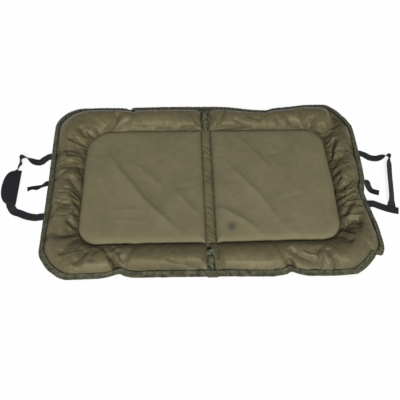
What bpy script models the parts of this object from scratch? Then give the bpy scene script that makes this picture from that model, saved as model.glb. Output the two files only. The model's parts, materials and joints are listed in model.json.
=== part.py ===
"""A folding unhooking mat: two padded halves with a stuffed rim, joined by a narrow spine strip.

Each half is a foam panel inside a fibre-filled rim, sewn between a top cloth and a base cloth and
bound along its edge. Webbing handles and closing tabs are sewn into the two short edges, and one
handle carries a grip wrap. Everything is modelled with the fold in the middle at x = 0, and the
finished mat is then centred over the origin. Lengths are in metres and +Z is up.
"""

import math

import bmesh
import bpy
from mathutils import Vector

# Sizes of the mat
MAT_WIDTH = 1.000
MAT_DEPTH = 0.650
RIM_WIDTH = 0.110
RIM_HEIGHT = 0.046
EDGE_CORNER_RADIUS = 0.090
PANEL_CORNER_RADIUS = 0.065
STRIP_WIDTH = 0.030
STRIP_CROWN = 0.003
STRIP_END_RUN = 0.010
PINCH_HEIGHT = 0.011
SEAM_FOOT = 0.018
LIP_RUN = 0.030
PANEL_EDGE_RUN = 0.020
PANEL_CROWN_RUN = 0.120
RIM_START_RUN = 0.045
NOTCH_HALF_WIDTH = 0.028
NOTCH_PULL = 0.012

# Cloth, tape and clearances
CLOTH = 0.0010
TAPE = 0.0009
BINDING_WIDTH = 0.014
SEWN_GAP = 0.0003
NESTED_GAP = 0.0004
FOLDED_CLEARANCE = 0.0006
ON_FLOOR = 0.0003

# Handles, grip wrap and closing tabs
WEBBING_WIDTH = 0.025
WEBBING_THICKNESS = 0.0015
ROOT_CLEARANCE = 0.0002
LEFT_HANDLE_REACH = 0.0975
LEFT_HANDLE_SPAN = 0.228
RIGHT_HANDLE_REACH = 0.100
RIGHT_HANDLE_SPAN = 0.198
RIGHT_HANDLE_CENTRE = 0.013
TAB_WIDTH = 0.020
LEFT_TAB_REACH = 0.062
LEFT_TAB_ROOT_Y = 0.008
LEFT_TAB_SWING = 0.018
RIGHT_TAB_REACH = 0.038
RIGHT_TAB_ROOT_Y = -0.002
RIGHT_TAB_SWING = 0.036
PATCH_MARGIN = 0.002
HOOK_THICKNESS = 0.0007
LOOP_THICKNESS = 0.0006
WRAP_LENGTH = 0.126
WRAP_WIDTH = 0.049
WRAP_FOLD_REACH = 0.092
WRAP_LEAF = 0.0024
WRAP_EDGE = 0.0008
WRAP_PATCH_LENGTH = 0.070
WRAP_PATCH_WIDTH = 0.013
WRAP_PATCH_INSET = 0.006
STITCH_BOX = 0.018
STITCH_WIDTH = 0.0016
STITCH_HEIGHT = 0.0005
TACK_LENGTH = 0.020
TACK_WIDTH = 0.0022

# Heights and reaches that follow from them
BASE_TOP_AT_SEAM = PINCH_HEIGHT - SEWN_GAP / 2
SEAM_TOP = PINCH_HEIGHT + SEWN_GAP / 2 + CLOTH
PANEL_TOP = SEAM_TOP + STRIP_WIDTH / 2 - FOLDED_CLEARANCE
STRIP_SIDE = STRIP_WIDTH / 2 - SEWN_GAP / 2
HALF_START = STRIP_WIDTH / 2 + SEWN_GAP / 2
HALF_REACH = MAT_WIDTH / 2 - HALF_START
PANEL_REACH = HALF_REACH - RIM_WIDTH
EDGE_Y = MAT_DEPTH / 2
PANEL_Y = EDGE_Y - RIM_WIDTH
FLANGE = BINDING_WIDTH + SEWN_GAP
EDGE_TUCK = TAPE + SEWN_GAP
BINDING_HALF_HEIGHT = SEWN_GAP / 2 + CLOTH + SEWN_GAP + TAPE
MITRE = PINCH_HEIGHT + BINDING_HALF_HEIGHT - SEAM_TOP + SEWN_GAP / 2
ROOT_GAP = WEBBING_THICKNESS / 2 + ROOT_CLEARANCE
WRAP_WEBBING_HEIGHT = ON_FLOOR + WRAP_LEAF + SEWN_GAP + WEBBING_THICKNESS / 2

# Share of the run, then share of the height
panel_edge_shares = ((0.15, 0.31), (0.45, 0.64), (1.0, 0.86))
panel_crown_shares = ((0.5, 0.96), (1.0, 1.0))
rim_profile_shares = (
    (0.0, 0.0),
    (0.04, 0.26),
    (0.14, 0.60),
    (0.34, 0.95),
    (0.56, 1.0),
    (0.76, 0.82),
    (0.92, 0.40),
    (1.0, 0.0),
)
rim_start_shares = ((0.0, 0.55), (0.09, 0.66), (0.40, 0.90), (1.0, 1.0))
gather_shares = ((0.0, 0.55), (0.25, 0.60), (0.5, 0.62), (0.75, 0.60), (1.0, 0.55))
strip_shares = ((0.0, 0.0), (0.2, 0.6), (0.5, 1.0), (0.8, 0.6), (1.0, 0.0))
near_strip_share = 0.22
least_radius_share = 0.2
notch_spacing_share = 1.2
wrap_bow_share = 0.7
patch_start_share = 0.60
patch_end_share = 0.97
slope_step_share = 0.02

# Where the rim is drawn in: the run, how far along it, how much flatter, how far the edge is pulled
left_notch_shares = (("front", 0.64, 0.42, 0.80), ("back", 0.61, 0.12, 0.55))
right_notch_shares = (("front", 0.515, 0.34, 0.75), ("back", 0.51, 0.12, 0.90))

# Straps: share of the reach outwards, share of the swing along the edge, rest, roll in degrees
left_handle_shares = (
    (0.0, 1.0, "sewn", 0),
    (0.07, 1.0, "leaving", 0),
    (0.20, 0.96, "landing", 0),
    (0.36, 0.87, "floor", 0),
    (0.56, 0.88, "floor", 12),
    (0.77, 0.97, "floor", 58),
    (0.94, 1.01, "floor", 80),
    (1.01, 0.93, "floor", 84),
    (1.01, 0.80, "floor", 66),
    (1.02, 0.715, "floor", 22),
    (1.04, 0.655, "wrapped", 3),
    (1.06, 0.60, "wrapped", 0),
    (1.09, 0.48, "wrapped", 0),
    (1.11, 0.30, "wrapped", 0),
    (1.12, -0.06, "wrapped", 0),
    (1.11, -0.38, "wrapped", 0),
    (1.08, -0.55, "wrapped", 0),
    (1.04, -0.63, "wrapped", 0),
    (0.93, -0.76, "floor", 0),
    (0.74, -0.83, "floor", 0),
    (0.50, -0.92, "floor", 0),
    (0.24, -0.985, "landing", 0),
    (0.08, -1.0, "leaving", 0),
    (0.0, -1.0, "sewn", 0),
)
right_handle_shares = (
    (0.0, 1.0, "sewn", 0),
    (0.07, 1.0, "leaving", 0),
    (0.20, 0.98, "landing", 0),
    (0.38, 0.89, "floor", 0),
    (0.60, 0.85, "floor", -6),
    (0.82, 0.91, "floor", -34),
    (0.97, 0.89, "floor", -78),
    (1.0, 0.78, "floor", -82),
    (0.94, 0.60, "floor", -58),
    (0.87, 0.24, "floor", -46),
    (0.80, -0.20, "floor", -44),
    (0.74, -0.58, "floor", -30),
    (0.685, -0.84, "floor", -3),
    (0.66, -1.01, "floor", 0),
    (0.64, -1.20, "floor", 0),
)
right_end_shares = (
    (0.0, -1.0, "sewn", 0),
    (0.08, -1.0, "leaving", 0),
    (0.22, -1.04, "climbing", 0),
    (0.43, -1.11, "crossing", 0),
    (0.63, -1.18, "crossing", 0),
    (0.83, -1.23, "crossing", 0),
)
left_tab_shares = (
    (0.0, 0.0, "sewn", 0),
    (0.12, 0.0, "leaving", -2),
    (0.30, -0.26, "floor", -28),
    (0.52, -0.58, "floor", -20),
    (0.76, -0.80, "floor", -6),
    (1.0, -1.0, "floor", 0),
)
right_tab_shares = (
    (0.0, 0.0, "sewn", 0),
    (0.16, 0.0, "leaving", 0),
    (0.36, -0.12, "landing", 0),
    (0.58, -0.38, "floor", 0),
    (0.80, -0.69, "floor", 0),
    (1.0, -1.0, "floor", 0),
)
leaving_height_share = 0.86
landing_height_share = 0.36

CORNER_STEPS = 4
SIDE_STEPS = 4
RUN_STEPS = 3
SEAM_STEPS = 4
LEFT_HANDLE_STEPS = 52
RIGHT_HANDLE_STEPS = 40
RIGHT_END_STEPS = 14
TAB_STEPS = 12
PATCH_STEPS = 6
WRAP_STEPS = 12
SHARP_ANGLE = 50


def clear_scene():
    for item in list(bpy.data.objects):
        bpy.data.objects.remove(item, do_unlink=True)


def from_screen(red, green, blue):
    """A colour given as it looks on screen, 0 to 255, as the linear values a shader takes."""
    shares = [value / 255 for value in (red, green, blue)]
    return [s / 12.92 if s <= 0.04045 else ((s + 0.055) / 1.055) ** 2.4 for s in shares]


def material(name, colour, roughness):
    made = bpy.data.materials.new(name)
    made.use_nodes = True
    shader = made.node_tree.nodes["Principled BSDF"]
    shader.inputs["Base Color"].default_value = (*from_screen(*colour), 1.0)
    shader.inputs["Roughness"].default_value = roughness
    shader.inputs["Metallic"].default_value = 0.0
    return made


def make_materials():
    return {
        "rim": material("rim_nylon", (104, 98, 72), 0.42),
        "panel": material("panel_nylon", (108, 102, 77), 0.62),
        "base": material("base_cloth", (62, 62, 48), 0.7),
        "binding": material("binding_tape", (84, 86, 70), 0.75),
        "webbing": material("black_webbing", (34, 35, 40), 0.8),
        "wrap": material("wrap_cloth", (27, 27, 32), 0.7),
        "foam": material("foam", (196, 196, 190), 0.95),
        "fibre": material("fibre_filling", (235, 235, 230), 1.0),
        "hook": material("hook_and_loop", (22, 22, 24), 0.95),
        "thread": material("thread", (40, 41, 38), 0.8),
    }


def lerp(start, end, share):
    return start + (end - start) * share


def read_table(table, share):
    """The height share at a share of the run, straight between a table's rows."""
    for (x0, y0), (x1, y1) in zip(table, table[1:]):
        if share <= x1:
            return lerp(y0, y1, max(0.0, share - x0) / (x1 - x0))
    return table[-1][1]


class Frame:
    """The mat's pieces and the empties that carry them, one on each joint's axis."""

    def __init__(self):
        self.pivots = {}
        self.materials = make_materials()

    def body(self, name, at, parent=None):
        empty = bpy.data.objects.new(name + "_axis", None)
        bpy.context.scene.collection.objects.link(empty)
        start = Vector()
        if parent:
            empty.parent = self.pivots[parent][0]
            start = self.pivots[parent][1]
        empty.location = Vector(at) - start
        self.pivots[name] = (empty, Vector(at))

    def piece(self, name, body, finish, points, faces, smooth=True):
        """One named object, from points in the mat's own frame."""
        empty, pivot = self.pivots[body]
        mesh = bpy.data.meshes.new(name)
        mesh.from_pydata([Vector(p) - pivot for p in points], [], faces)
        mesh.materials.append(self.materials[finish])
        shape = bmesh.new()
        shape.from_mesh(mesh)
        bmesh.ops.recalc_face_normals(shape, faces=shape.faces)
        shape.to_mesh(mesh)
        shape.free()
        if smooth:
            mesh.shade_smooth()
            mesh.set_sharp_from_angle(angle=math.radians(SHARP_ANGLE))
        made = bpy.data.objects.new(name, mesh)
        bpy.context.scene.collection.objects.link(made)
        made.parent = empty
        return made


def grid_faces(rows, columns, closed=False):
    """Triangles over a grid of points given row by row; closed joins each row's ends."""
    faces = []
    for i in range(rows - 1):
        for j in range(columns if closed else columns - 1):
            a = i * columns + j
            b = i * columns + (j + 1) % columns
            faces.append((a, a + columns, b + columns))
            faces.append((a, b + columns, b))
    return faces


def sandwich(tops, unders, faces):
    """A closed sheet between two surfaces that share their faces, with its open edges walled."""
    count = len(tops)
    used = {(f[k - 1], f[k]) for f in faces for k in range(len(f))}
    walls = [(b, a, a + count, b + count) for a, b in used if (b, a) not in used]
    under_faces = [tuple(i + count for i in reversed(f)) for f in faces]
    return [*tops, *unders], [*faces, *under_faces, *sorted(walls)]


def lowered(points, drop):
    return [(x, y, z - drop) for x, y, z in points]


def ring_at(inset, reach, half_depth, radius):
    """A half's outline, moved in by inset: nearest the strip, furthest from it, half depth, corner."""
    least = radius * least_radius_share
    return max(inset, 0.0), reach - inset, half_depth - inset, max(radius - inset, least)


def ring_point(ring, run, t):
    """A point of that outline as (distance from the strip, y), at t along one of its runs."""
    near, reach, half_depth, radius = ring
    straight = lerp(near, reach - radius, t)
    turn = t * math.pi / 2
    if run == "back":
        return straight, half_depth
    if run == "back_corner":
        return (
            reach - radius + radius * math.sin(turn),
            half_depth - radius + radius * math.cos(turn),
        )
    if run == "side":
        return reach, (half_depth - radius) * (1 - 2 * t)
    if run == "front_corner":
        return (
            reach - radius + radius * math.cos(turn),
            -half_depth + radius - radius * math.sin(turn),
        )
    if run == "front":
        return straight, -half_depth
    return near, lerp(-half_depth, half_depth, t)


def run_places(notches, run):
    """Places along the back or the front run, closer together by the strip and at a notch."""
    length = PANEL_REACH - PANEL_CORNER_RADIUS
    width = NOTCH_HALF_WIDTH / length
    near = [0.0, SEAM_FOOT * near_strip_share, SEAM_FOOT, RIM_START_RUN]
    places = [distance / length for distance in near]
    first = places[-1]
    notch = [at for where, at, _, _ in notches if where == run]
    for step in range(1, RUN_STEPS + 1):
        place = lerp(first, 1.0, step / RUN_STEPS)
        if all(abs(place - at) > width * notch_spacing_share for at in notch):
            places.append(place)
    for at in notch:
        places += [at - width, at, at + width]
    return sorted(places)


def rim_stations(notches):
    """Where the rim is cut across, from the strip's back seam round to its front seam."""
    stations = [("back", t) for t in run_places(notches, "back")]
    stations += [("back_corner", k / CORNER_STEPS) for k in range(1, CORNER_STEPS + 1)]
    stations += [("side", k / SIDE_STEPS) for k in range(1, SIDE_STEPS + 1)]
    stations += [("front_corner", k / CORNER_STEPS) for k in range(1, CORNER_STEPS)]
    stations += [("front", t) for t in reversed(run_places(notches, "front"))]
    return stations


def notch_at(notches, run, t):
    """How much flatter the rim is at a station, and how far its edge is pulled in."""
    width = NOTCH_HALF_WIDTH / (PANEL_REACH - PANEL_CORNER_RADIUS)
    flatter = 0.0
    pull = 0.0
    for where, at, flat_share, pull_share in notches:
        if where == run:
            nearness = max(0.0, 1 - abs(t - at) / width)
            flatter += flat_share * nearness
            pull += NOTCH_PULL * pull_share * nearness
    return flatter, pull


class Half:
    """One half of the mat: the plan lines and heights that all its layers share."""

    def __init__(self, frame, side, body, tag, notches):
        self.frame = frame
        self.side = side
        self.body = body
        self.tag = tag
        self.notches = notches
        self.stations = rim_stations(notches)
        self.seam_stations = [("seam", k / SEAM_STEPS) for k in range(1, SEAM_STEPS)]
        self.sections = [self.section(run, t) for run, t in self.stations]

    def place(self, plan, z):
        return (self.side * (HALF_START + plan[0]), plan[1], z)

    def panel_ring(self, inset):
        ring = ring_at(inset, PANEL_REACH, PANEL_Y, PANEL_CORNER_RADIUS)
        return [Vector(ring_point(ring, *s)) for s in self.stations + self.seam_stations]

    def section(self, run, t):
        """The plan points of one cut across the rim, and how plump the rim is there."""
        inner = ring_at(0.0, PANEL_REACH, PANEL_Y, PANEL_CORNER_RADIUS)
        seam = ring_at(-SEWN_GAP / 2, PANEL_REACH, PANEL_Y, PANEL_CORNER_RADIUS)
        outer = ring_at(0.0, HALF_REACH, EDGE_Y, EDGE_CORNER_RADIUS)
        base = Vector(ring_point(inner, run, t))
        start = Vector(ring_point(seam, run, t))
        edge = Vector(ring_point(outer, run, t))
        inward = (base - edge).normalized()
        flatter, pull = notch_at(self.notches, run, t)
        edge = edge + inward * pull
        plump = 1 - flatter
        if run in ("back", "front"):
            plump *= read_table(rim_start_shares, base[0] / RIM_START_RUN)
        return {
            "base": base,
            "start": start,
            "edge": edge,
            "inward": inward,
            "tuck": edge + inward * EDGE_TUCK,
            "flange": edge + inward * FLANGE,
            "plump": plump,
            "on_ridge": run in ("back", "front") and base[0] < SEAM_FOOT + SEWN_GAP,
        }

    def ridge(self, distance):
        """Height of the base cloth's top near the strip, where it is drawn up to the seam."""
        return max(CLOTH, lerp(BASE_TOP_AT_SEAM, CLOTH, distance / SEAM_FOOT))

    def base_line(self, cut):
        """The base cloth's plan points and top heights across the rim at one cut."""
        foot = cut["base"] - cut["inward"] * SEAM_FOOT
        lip = cut["flange"] + cut["inward"] * LIP_RUN
        return [
            (cut["base"], BASE_TOP_AT_SEAM),
            (foot, self.ridge(foot[0])),
            (lip, self.ridge(lip[0])),
            (cut["flange"], BASE_TOP_AT_SEAM),
            (cut["tuck"], BASE_TOP_AT_SEAM),
        ]

    def make_base_sheet(self):
        """The base cloth: flat on the floor under panel and rim, drawn up to the seams and edge."""
        points = []
        for cut in self.sections:
            points += [self.place(plan, z) for plan, z in self.base_line(cut)]
        faces = grid_faces(len(self.sections), 5)
        ring = self.panel_ring(0.0)
        loop = [5 * k for k in range(len(self.sections))]
        for plan in ring[len(self.sections) :]:
            loop.append(len(points))
            points.append(self.place(plan, BASE_TOP_AT_SEAM))
        first = len(points)
        points += [self.place(plan, CLOTH) for plan in self.panel_ring(SEAM_FOOT)]
        count = len(ring)
        for j in range(count):
            k = (j + 1) % count
            faces.append((loop[k], loop[j], first + j))
            faces.append((loop[k], first + j, first + k))
        faces.append(tuple(reversed(range(first, first + count))))
        made = sandwich(points, lowered(points, CLOTH), faces)
        self.frame.piece("base_sheet_" + self.tag, self.body, "base", *made)

    def cover_height(self, cut, share):
        return SEAM_TOP + (RIM_HEIGHT - SEAM_TOP) * cut["plump"] * share

    def make_rim_cover(self):
        points = []
        for cut in self.sections:
            for across, height in rim_profile_shares:
                plan = cut["start"].lerp(cut["flange"], across)
                points.append(self.place(plan, self.cover_height(cut, height)))
            points.append(self.place(cut["tuck"], SEAM_TOP))
        faces = grid_faces(len(self.sections), len(rim_profile_shares) + 1)
        made = sandwich(points, lowered(points, CLOTH), faces)
        self.frame.piece("rim_cover_" + self.tag, self.body, "rim", *made)

    def floor_under(self, cut, plan):
        """The lowest a filling may reach: just over the base cloth, or its ridge by the strip."""
        if cut["on_ridge"]:
            return BASE_TOP_AT_SEAM + NESTED_GAP
        origin = cut["base"]
        line = [((point - origin).length, z) for point, z in self.base_line(cut)]
        return read_table(line, (plan - origin).length) + NESTED_GAP

    def make_rim_filling(self):
        tops = []
        unders = []
        inside = rim_profile_shares[1:-1]
        for cut in self.sections:
            for across, height in inside:
                plan = cut["start"].lerp(cut["flange"], across)
                top = self.cover_height(cut, height) - CLOTH - NESTED_GAP
                tops.append(self.place(plan, top))
                unders.append(self.place(plan, self.floor_under(cut, plan)))
        faces = grid_faces(len(self.sections), len(inside))
        made = sandwich(tops, unders, faces)
        self.frame.piece("rim_filling_" + self.tag, self.body, "fibre", *made)

    def panel_lines(self):
        """Inset and height of each ring over the panel, from its seam to the crown."""
        rise = PANEL_TOP - SEAM_TOP
        lines = [(SEWN_GAP / 2, SEAM_TOP)]
        for across, height in panel_edge_shares:
            lines.append((PANEL_EDGE_RUN * across, SEAM_TOP + rise * height))
        for across, height in panel_crown_shares:
            lines.append((PANEL_CROWN_RUN * across, SEAM_TOP + rise * height))
        return lines

    def rings(self, lines):
        points = []
        for inset, z in lines:
            points += [self.place(plan, z) for plan in self.panel_ring(inset)]
        return points

    def ring_faces(self, rings):
        count = len(self.stations) + len(self.seam_stations)
        faces = grid_faces(rings, count, closed=True)
        faces.append(tuple(reversed(range((rings - 1) * count, rings * count))))
        return faces

    def make_panel(self):
        """The panel's cover, and the foam slab that fills it down to the base cloth."""
        lines = self.panel_lines()
        cover = self.rings(lines)
        made = sandwich(cover, lowered(cover, CLOTH), self.ring_faces(len(lines)))
        self.frame.piece("panel_cover_" + self.tag, self.body, "panel", *made)
        under = [(inset, self.ridge(inset) + NESTED_GAP) for inset, _ in lines[1:]]
        tops = lowered(self.rings(lines[1:]), CLOTH + NESTED_GAP)
        made = sandwich(tops, self.rings(under), self.ring_faces(len(under)))
        self.frame.piece("panel_foam_" + self.tag, self.body, "foam", *made)

    def make_binding(self):
        """Tape folded round the edge, and cut back at the strip so that it clears in the fold."""
        outside = []
        inside = []
        back = MITRE / (PANEL_REACH - PANEL_CORNER_RADIUS)
        cuts = [self.section(self.stations[0][0], back), *self.sections[1:-1]]
        cuts.append(self.section(self.stations[-1][0], back))
        for cut in cuts:
            for depth, height in binding_section(0.0):
                plan = cut["edge"] + cut["inward"] * depth
                outside.append(self.place(plan, PINCH_HEIGHT + height))
            for depth, height in binding_section(TAPE):
                plan = cut["edge"] + cut["inward"] * depth
                inside.append(self.place(plan, PINCH_HEIGHT + height))
        made = sandwich(outside, inside, grid_faces(len(cuts), 4))
        self.frame.piece("edge_binding_" + self.tag, self.body, "binding", *made)

    def make_tacks(self, places):
        """A short bar of thread across the binding over each strap's sewn end."""
        x = self.side * (MAT_WIDTH / 2 - BINDING_WIDTH / 2)
        z = PINCH_HEIGHT + BINDING_HALF_HEIGHT + SEWN_GAP + STITCH_HEIGHT / 2
        for strap_end, y in places.items():
            made = block((x, y, z), (TACK_WIDTH, TACK_LENGTH, STITCH_HEIGHT))
            name = "bar_tack_" + self.tag + "_" + strap_end
            self.frame.piece(name, self.body, "thread", *made, False)


def binding_section(skin):
    """Across the folded tape: depth in from the edge, and height over the sewn plane."""
    height = BINDING_HALF_HEIGHT - skin
    return (
        (BINDING_WIDTH, -height),
        (skin, -height),
        (skin, height),
        (BINDING_WIDTH, height),
    )


def block(centre, size):
    points = []
    for corner in range(8):
        signs = [1 if corner >> axis & 1 else -1 for axis in range(3)]
        points.append([c + s * d / 2 for c, s, d in zip(centre, signs, size)])
    ends = [(0, 2, 3, 1), (4, 5, 7, 6)]
    sides = [(0, 1, 5, 4), (2, 6, 7, 3), (0, 4, 6, 2), (1, 3, 7, 5)]
    return points, ends + sides


def make_strip(frame):
    """The spine between the halves: its cover and wadding, base cloth, and the two rim gathers."""
    body = "fold_strip"
    end = PANEL_Y - SEWN_GAP / 2
    stops = ((-end, 0.0), (STRIP_END_RUN - end, 1.0), (end - STRIP_END_RUN, 1.0), (end, 0.0))
    cover = []
    wadding = []
    seat = []
    for across, crown in strip_shares:
        x = lerp(-STRIP_SIDE, STRIP_SIDE, across)
        for y, share in stops:
            z = SEAM_TOP + STRIP_CROWN * crown * share
            cover.append((x, y, z))
            if crown and share:
                wadding.append((x, y, z - CLOTH - NESTED_GAP))
                seat.append((x, y, BASE_TOP_AT_SEAM + NESTED_GAP))
    faces = grid_faces(len(strip_shares), len(stops))
    made = sandwich(cover, lowered(cover, CLOTH), faces)
    frame.piece("strip_cover", body, "panel", *made)
    made = sandwich(wadding, seat, grid_faces(len(strip_shares) - 2, 2))
    frame.piece("strip_wadding", body, "foam", *made)
    size = (STRIP_SIDE * 2, (EDGE_Y - EDGE_TUCK) * 2, CLOTH)
    made = block((0, 0, BASE_TOP_AT_SEAM - CLOTH / 2), size)
    frame.piece("strip_base", body, "base", *made, False)
    make_gather(frame, "back", 1)
    make_gather(frame, "front", -1)


def make_gather(frame, tag, end):
    """Where the rim crosses the strip: gathered cloth over filling, and its piece of binding."""
    body = "fold_strip"
    first = PANEL_Y + SEWN_GAP / 2
    last = EDGE_Y - FLANGE
    cover = []
    tops = []
    seats = []
    for across, plump in gather_shares:
        x = lerp(-STRIP_SIDE, STRIP_SIDE, across)
        for along, height in rim_profile_shares:
            y = end * lerp(first, last, along)
            z = SEAM_TOP + (RIM_HEIGHT - SEAM_TOP) * plump * height
            cover.append((x, y, z))
            if height:
                tops.append((x, y, z - CLOTH - NESTED_GAP))
                seats.append((x, y, BASE_TOP_AT_SEAM + NESTED_GAP))
        cover.append((x, end * (EDGE_Y - EDGE_TUCK), SEAM_TOP))
    rows = len(gather_shares)
    columns = len(rim_profile_shares)
    made = sandwich(cover, lowered(cover, CLOTH), grid_faces(rows, columns + 1))
    frame.piece("rim_gather_" + tag, body, "rim", *made)
    made = sandwich(tops, seats, grid_faces(rows, columns - 2))
    frame.piece("gather_filling_" + tag, body, "fibre", *made)
    outside = []
    inside = []
    for x in (MITRE - STRIP_WIDTH / 2, STRIP_WIDTH / 2 - MITRE):
        for depth, height in binding_section(0.0):
            outside.append((x, end * (EDGE_Y - depth), PINCH_HEIGHT + height))
        for depth, height in binding_section(TAPE):
            inside.append((x, end * (EDGE_Y - depth), PINCH_HEIGHT + height))
    made = sandwich(outside, inside, grid_faces(2, 4))
    frame.piece("binding_bridge_" + tag, body, "binding", *made)


def smooth_point(route, place):
    """A point on one smooth curve through the route's points, at place counted in points."""
    k = min(int(place), len(route) - 2)
    t = place - k
    four = [route[min(max(i, 0), len(route) - 1)] for i in (k - 1, k, k + 1, k + 2)]
    if k == 0:
        four[0] = [2 * b - a for a, b in zip(four[2], four[1])]
    if k == len(route) - 2:
        four[3] = [2 * b - a for a, b in zip(four[1], four[2])]
    weights = (
        (-t + 2 * t**2 - t**3) / 2,
        (2 - 5 * t**2 + 3 * t**3) / 2,
        (t + 4 * t**2 - 3 * t**3) / 2,
        (-(t**2) + t**3) / 2,
    )
    return [sum(w * p[i] for w, p in zip(weights, four)) for i in range(len(route[0]))]


def heading(route, place):
    """The route's direction at a place on it."""
    near = slope_step_share
    last = float(len(route) - 1)
    before = Vector(smooth_point(route, max(place - near, 0.0))[:3])
    after = Vector(smooth_point(route, min(place + near, last))[:3])
    return (after - before).normalized()


def strap(route, width, thickness, steps, start=0.0, end=1.0, lift=0.0):
    """A flat strap along a route of (x, y, z, roll in degrees); lift moves it off its centre."""
    points = []
    last = len(route) - 1
    for step in range(steps + 1):
        place = last * lerp(start, end, step / steps)
        here = smooth_point(route, place)
        along = heading(route, place)
        level = Vector((-along.y, along.x, 0.0)).normalized()
        upright = along.cross(level)
        roll = math.radians(here[3])
        across = level * math.cos(roll) + upright * math.sin(roll)
        out = upright * math.cos(roll) - level * math.sin(roll)
        centre = Vector(here[:3]) + out * lift
        half_height = abs(across.z) * width / 2 + abs(out.z) * thickness / 2
        centre.z = max(centre.z, half_height)
        for s, t in ((-1, -1), (1, -1), (1, 1), (-1, 1)):
            points.append(centre + across * (s * width / 2) + out * (t * thickness / 2))
    faces = grid_faces(steps + 1, 4, closed=True)
    faces += [(0, 1, 2, 3), tuple(4 * steps + i for i in (3, 2, 1, 0))]
    return points, faces


def lying(roll, width):
    """Height of a strap's centre when its lower edge rests on the floor."""
    turn = abs(math.radians(roll))
    half = width / 2 * math.sin(turn) + WEBBING_THICKNESS / 2 * math.cos(turn)
    return half + ON_FLOOR


def strap_height(rest, roll, width):
    """Height of a strap's centre where it is sewn, falls to the floor, lies, is wrapped or crosses."""
    flat = lying(0, width)
    landing = lerp(flat, PINCH_HEIGHT, landing_height_share)
    heights = {
        "sewn": PINCH_HEIGHT,
        "leaving": lerp(flat, PINCH_HEIGHT, leaving_height_share),
        "landing": landing,
        "floor": lying(roll, width),
        "wrapped": WRAP_WEBBING_HEIGHT,
        "climbing": landing + WEBBING_THICKNESS,
        "crossing": flat + WEBBING_THICKNESS + SEWN_GAP,
    }
    return heights[rest]


def route_of(side, shares, reach, centre, swing, width):
    """A strap's route off one side edge, from its table of shares."""
    route = []
    for out, along, rest, roll in shares:
        x = side * (MAT_WIDTH / 2 + lerp(ROOT_GAP, reach, out))
        route.append((x, centre + swing * along, strap_height(rest, roll, width), roll))
    return route


def make_left_handle(frame):
    swing = LEFT_HANDLE_SPAN / 2
    route = route_of(-1, left_handle_shares, LEFT_HANDLE_REACH, 0, swing, WEBBING_WIDTH)
    made = strap(route, WEBBING_WIDTH, WEBBING_THICKNESS, LEFT_HANDLE_STEPS)
    frame.piece("handle_webbing_left", "left_handle", "webbing", *made)


def wrap_outline(grow):
    """The grip wrap's half-moon leaf in plan, straight along its fold."""
    fold = -(MAT_WIDTH / 2 + WRAP_FOLD_REACH)
    points = []
    for step in range(WRAP_STEPS + 1):
        turn = lerp(-math.pi / 2, math.pi / 2, step / WRAP_STEPS)
        bow = max(0.0, math.cos(turn)) ** wrap_bow_share
        out = bow * (WRAP_WIDTH + grow) - grow / 2
        points.append((fold - out, math.sin(turn) * (WRAP_LENGTH / 2 + grow)))
    return points


def padded_leaf(low):
    """One leaf of the grip wrap, from its lower face up, with eased edges."""
    rows = ((0, -WRAP_EDGE), (WRAP_EDGE, 0), (WRAP_LEAF - WRAP_EDGE, 0), (WRAP_LEAF, -WRAP_EDGE))
    points = []
    for height, grow in rows:
        points += [(x, y, low + height) for x, y in wrap_outline(grow)]
    count = WRAP_STEPS + 1
    faces = grid_faces(len(rows), count, closed=True)
    faces += [tuple(range(count)), tuple(range(4 * count - 1, 3 * count - 1, -1))]
    return points, faces


def make_wrap(frame):
    """The grip wrap round the left handle, folded shut, with its hook and loop patches."""
    made = padded_leaf(ON_FLOOR)
    frame.piece("grip_wrap_lower", "left_handle", "wrap", *made)
    top = WRAP_WEBBING_HEIGHT + WEBBING_THICKNESS / 2 + SEWN_GAP
    frame.piece("grip_wrap_upper", "wrap_flap", "wrap", *padded_leaf(top))
    out = WRAP_FOLD_REACH + WRAP_WIDTH - WRAP_PATCH_INSET - WRAP_PATCH_WIDTH / 2
    x = -(MAT_WIDTH / 2 + out)
    for name, body, z, thickness in (
        ("wrap_hook_patch", "left_handle", ON_FLOOR + WRAP_LEAF + SEWN_GAP, HOOK_THICKNESS),
        ("wrap_loop_patch", "wrap_flap", top - SEWN_GAP - LOOP_THICKNESS, LOOP_THICKNESS),
    ):
        made = block((x, 0, z + thickness / 2), (WRAP_PATCH_WIDTH, WRAP_PATCH_LENGTH, thickness))
        frame.piece(name, body, "hook", *made, False)


def make_right_handle(frame):
    """Two webbing pieces sewn together at the far corner by a box of stitches."""
    swing = RIGHT_HANDLE_SPAN / 2
    place = (RIGHT_HANDLE_REACH, RIGHT_HANDLE_CENTRE, swing, WEBBING_WIDTH)
    upper = route_of(1, right_handle_shares, *place)
    made = strap(upper, WEBBING_WIDTH, WEBBING_THICKNESS, RIGHT_HANDLE_STEPS)
    frame.piece("handle_webbing_right", "right_handle", "webbing", *made)
    lower = route_of(1, right_end_shares, *place)
    made = strap(lower, WEBBING_WIDTH, WEBBING_THICKNESS, RIGHT_END_STEPS)
    frame.piece("handle_webbing_right_end", "right_handle", "webbing", *made)
    make_stitch_box(frame, lower[-2])


def make_stitch_box(frame, at):
    """A square of sewn thread on top of the two straps."""
    low = at[2] + WEBBING_THICKNESS / 2 + SEWN_GAP
    points = []
    for z in (low, low + STITCH_HEIGHT):
        for half in (STITCH_BOX / 2, STITCH_BOX / 2 - STITCH_WIDTH):
            for sx, sy in ((-1, -1), (1, -1), (1, 1), (-1, 1)):
                points.append((at[0] + sx * half, at[1] + sy * half, z))
    faces = []
    for k in range(4):
        n = (k + 1) % 4
        faces.append((k, 4 + k, 4 + n, n))
        faces.append((8 + k, 8 + n, 12 + n, 12 + k))
        faces.append((k, n, 8 + n, 8 + k))
        faces.append((4 + k, 12 + k, 12 + n, 4 + n))
    frame.piece("handle_stitch_box", "right_handle", "thread", points, faces, False)


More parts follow.
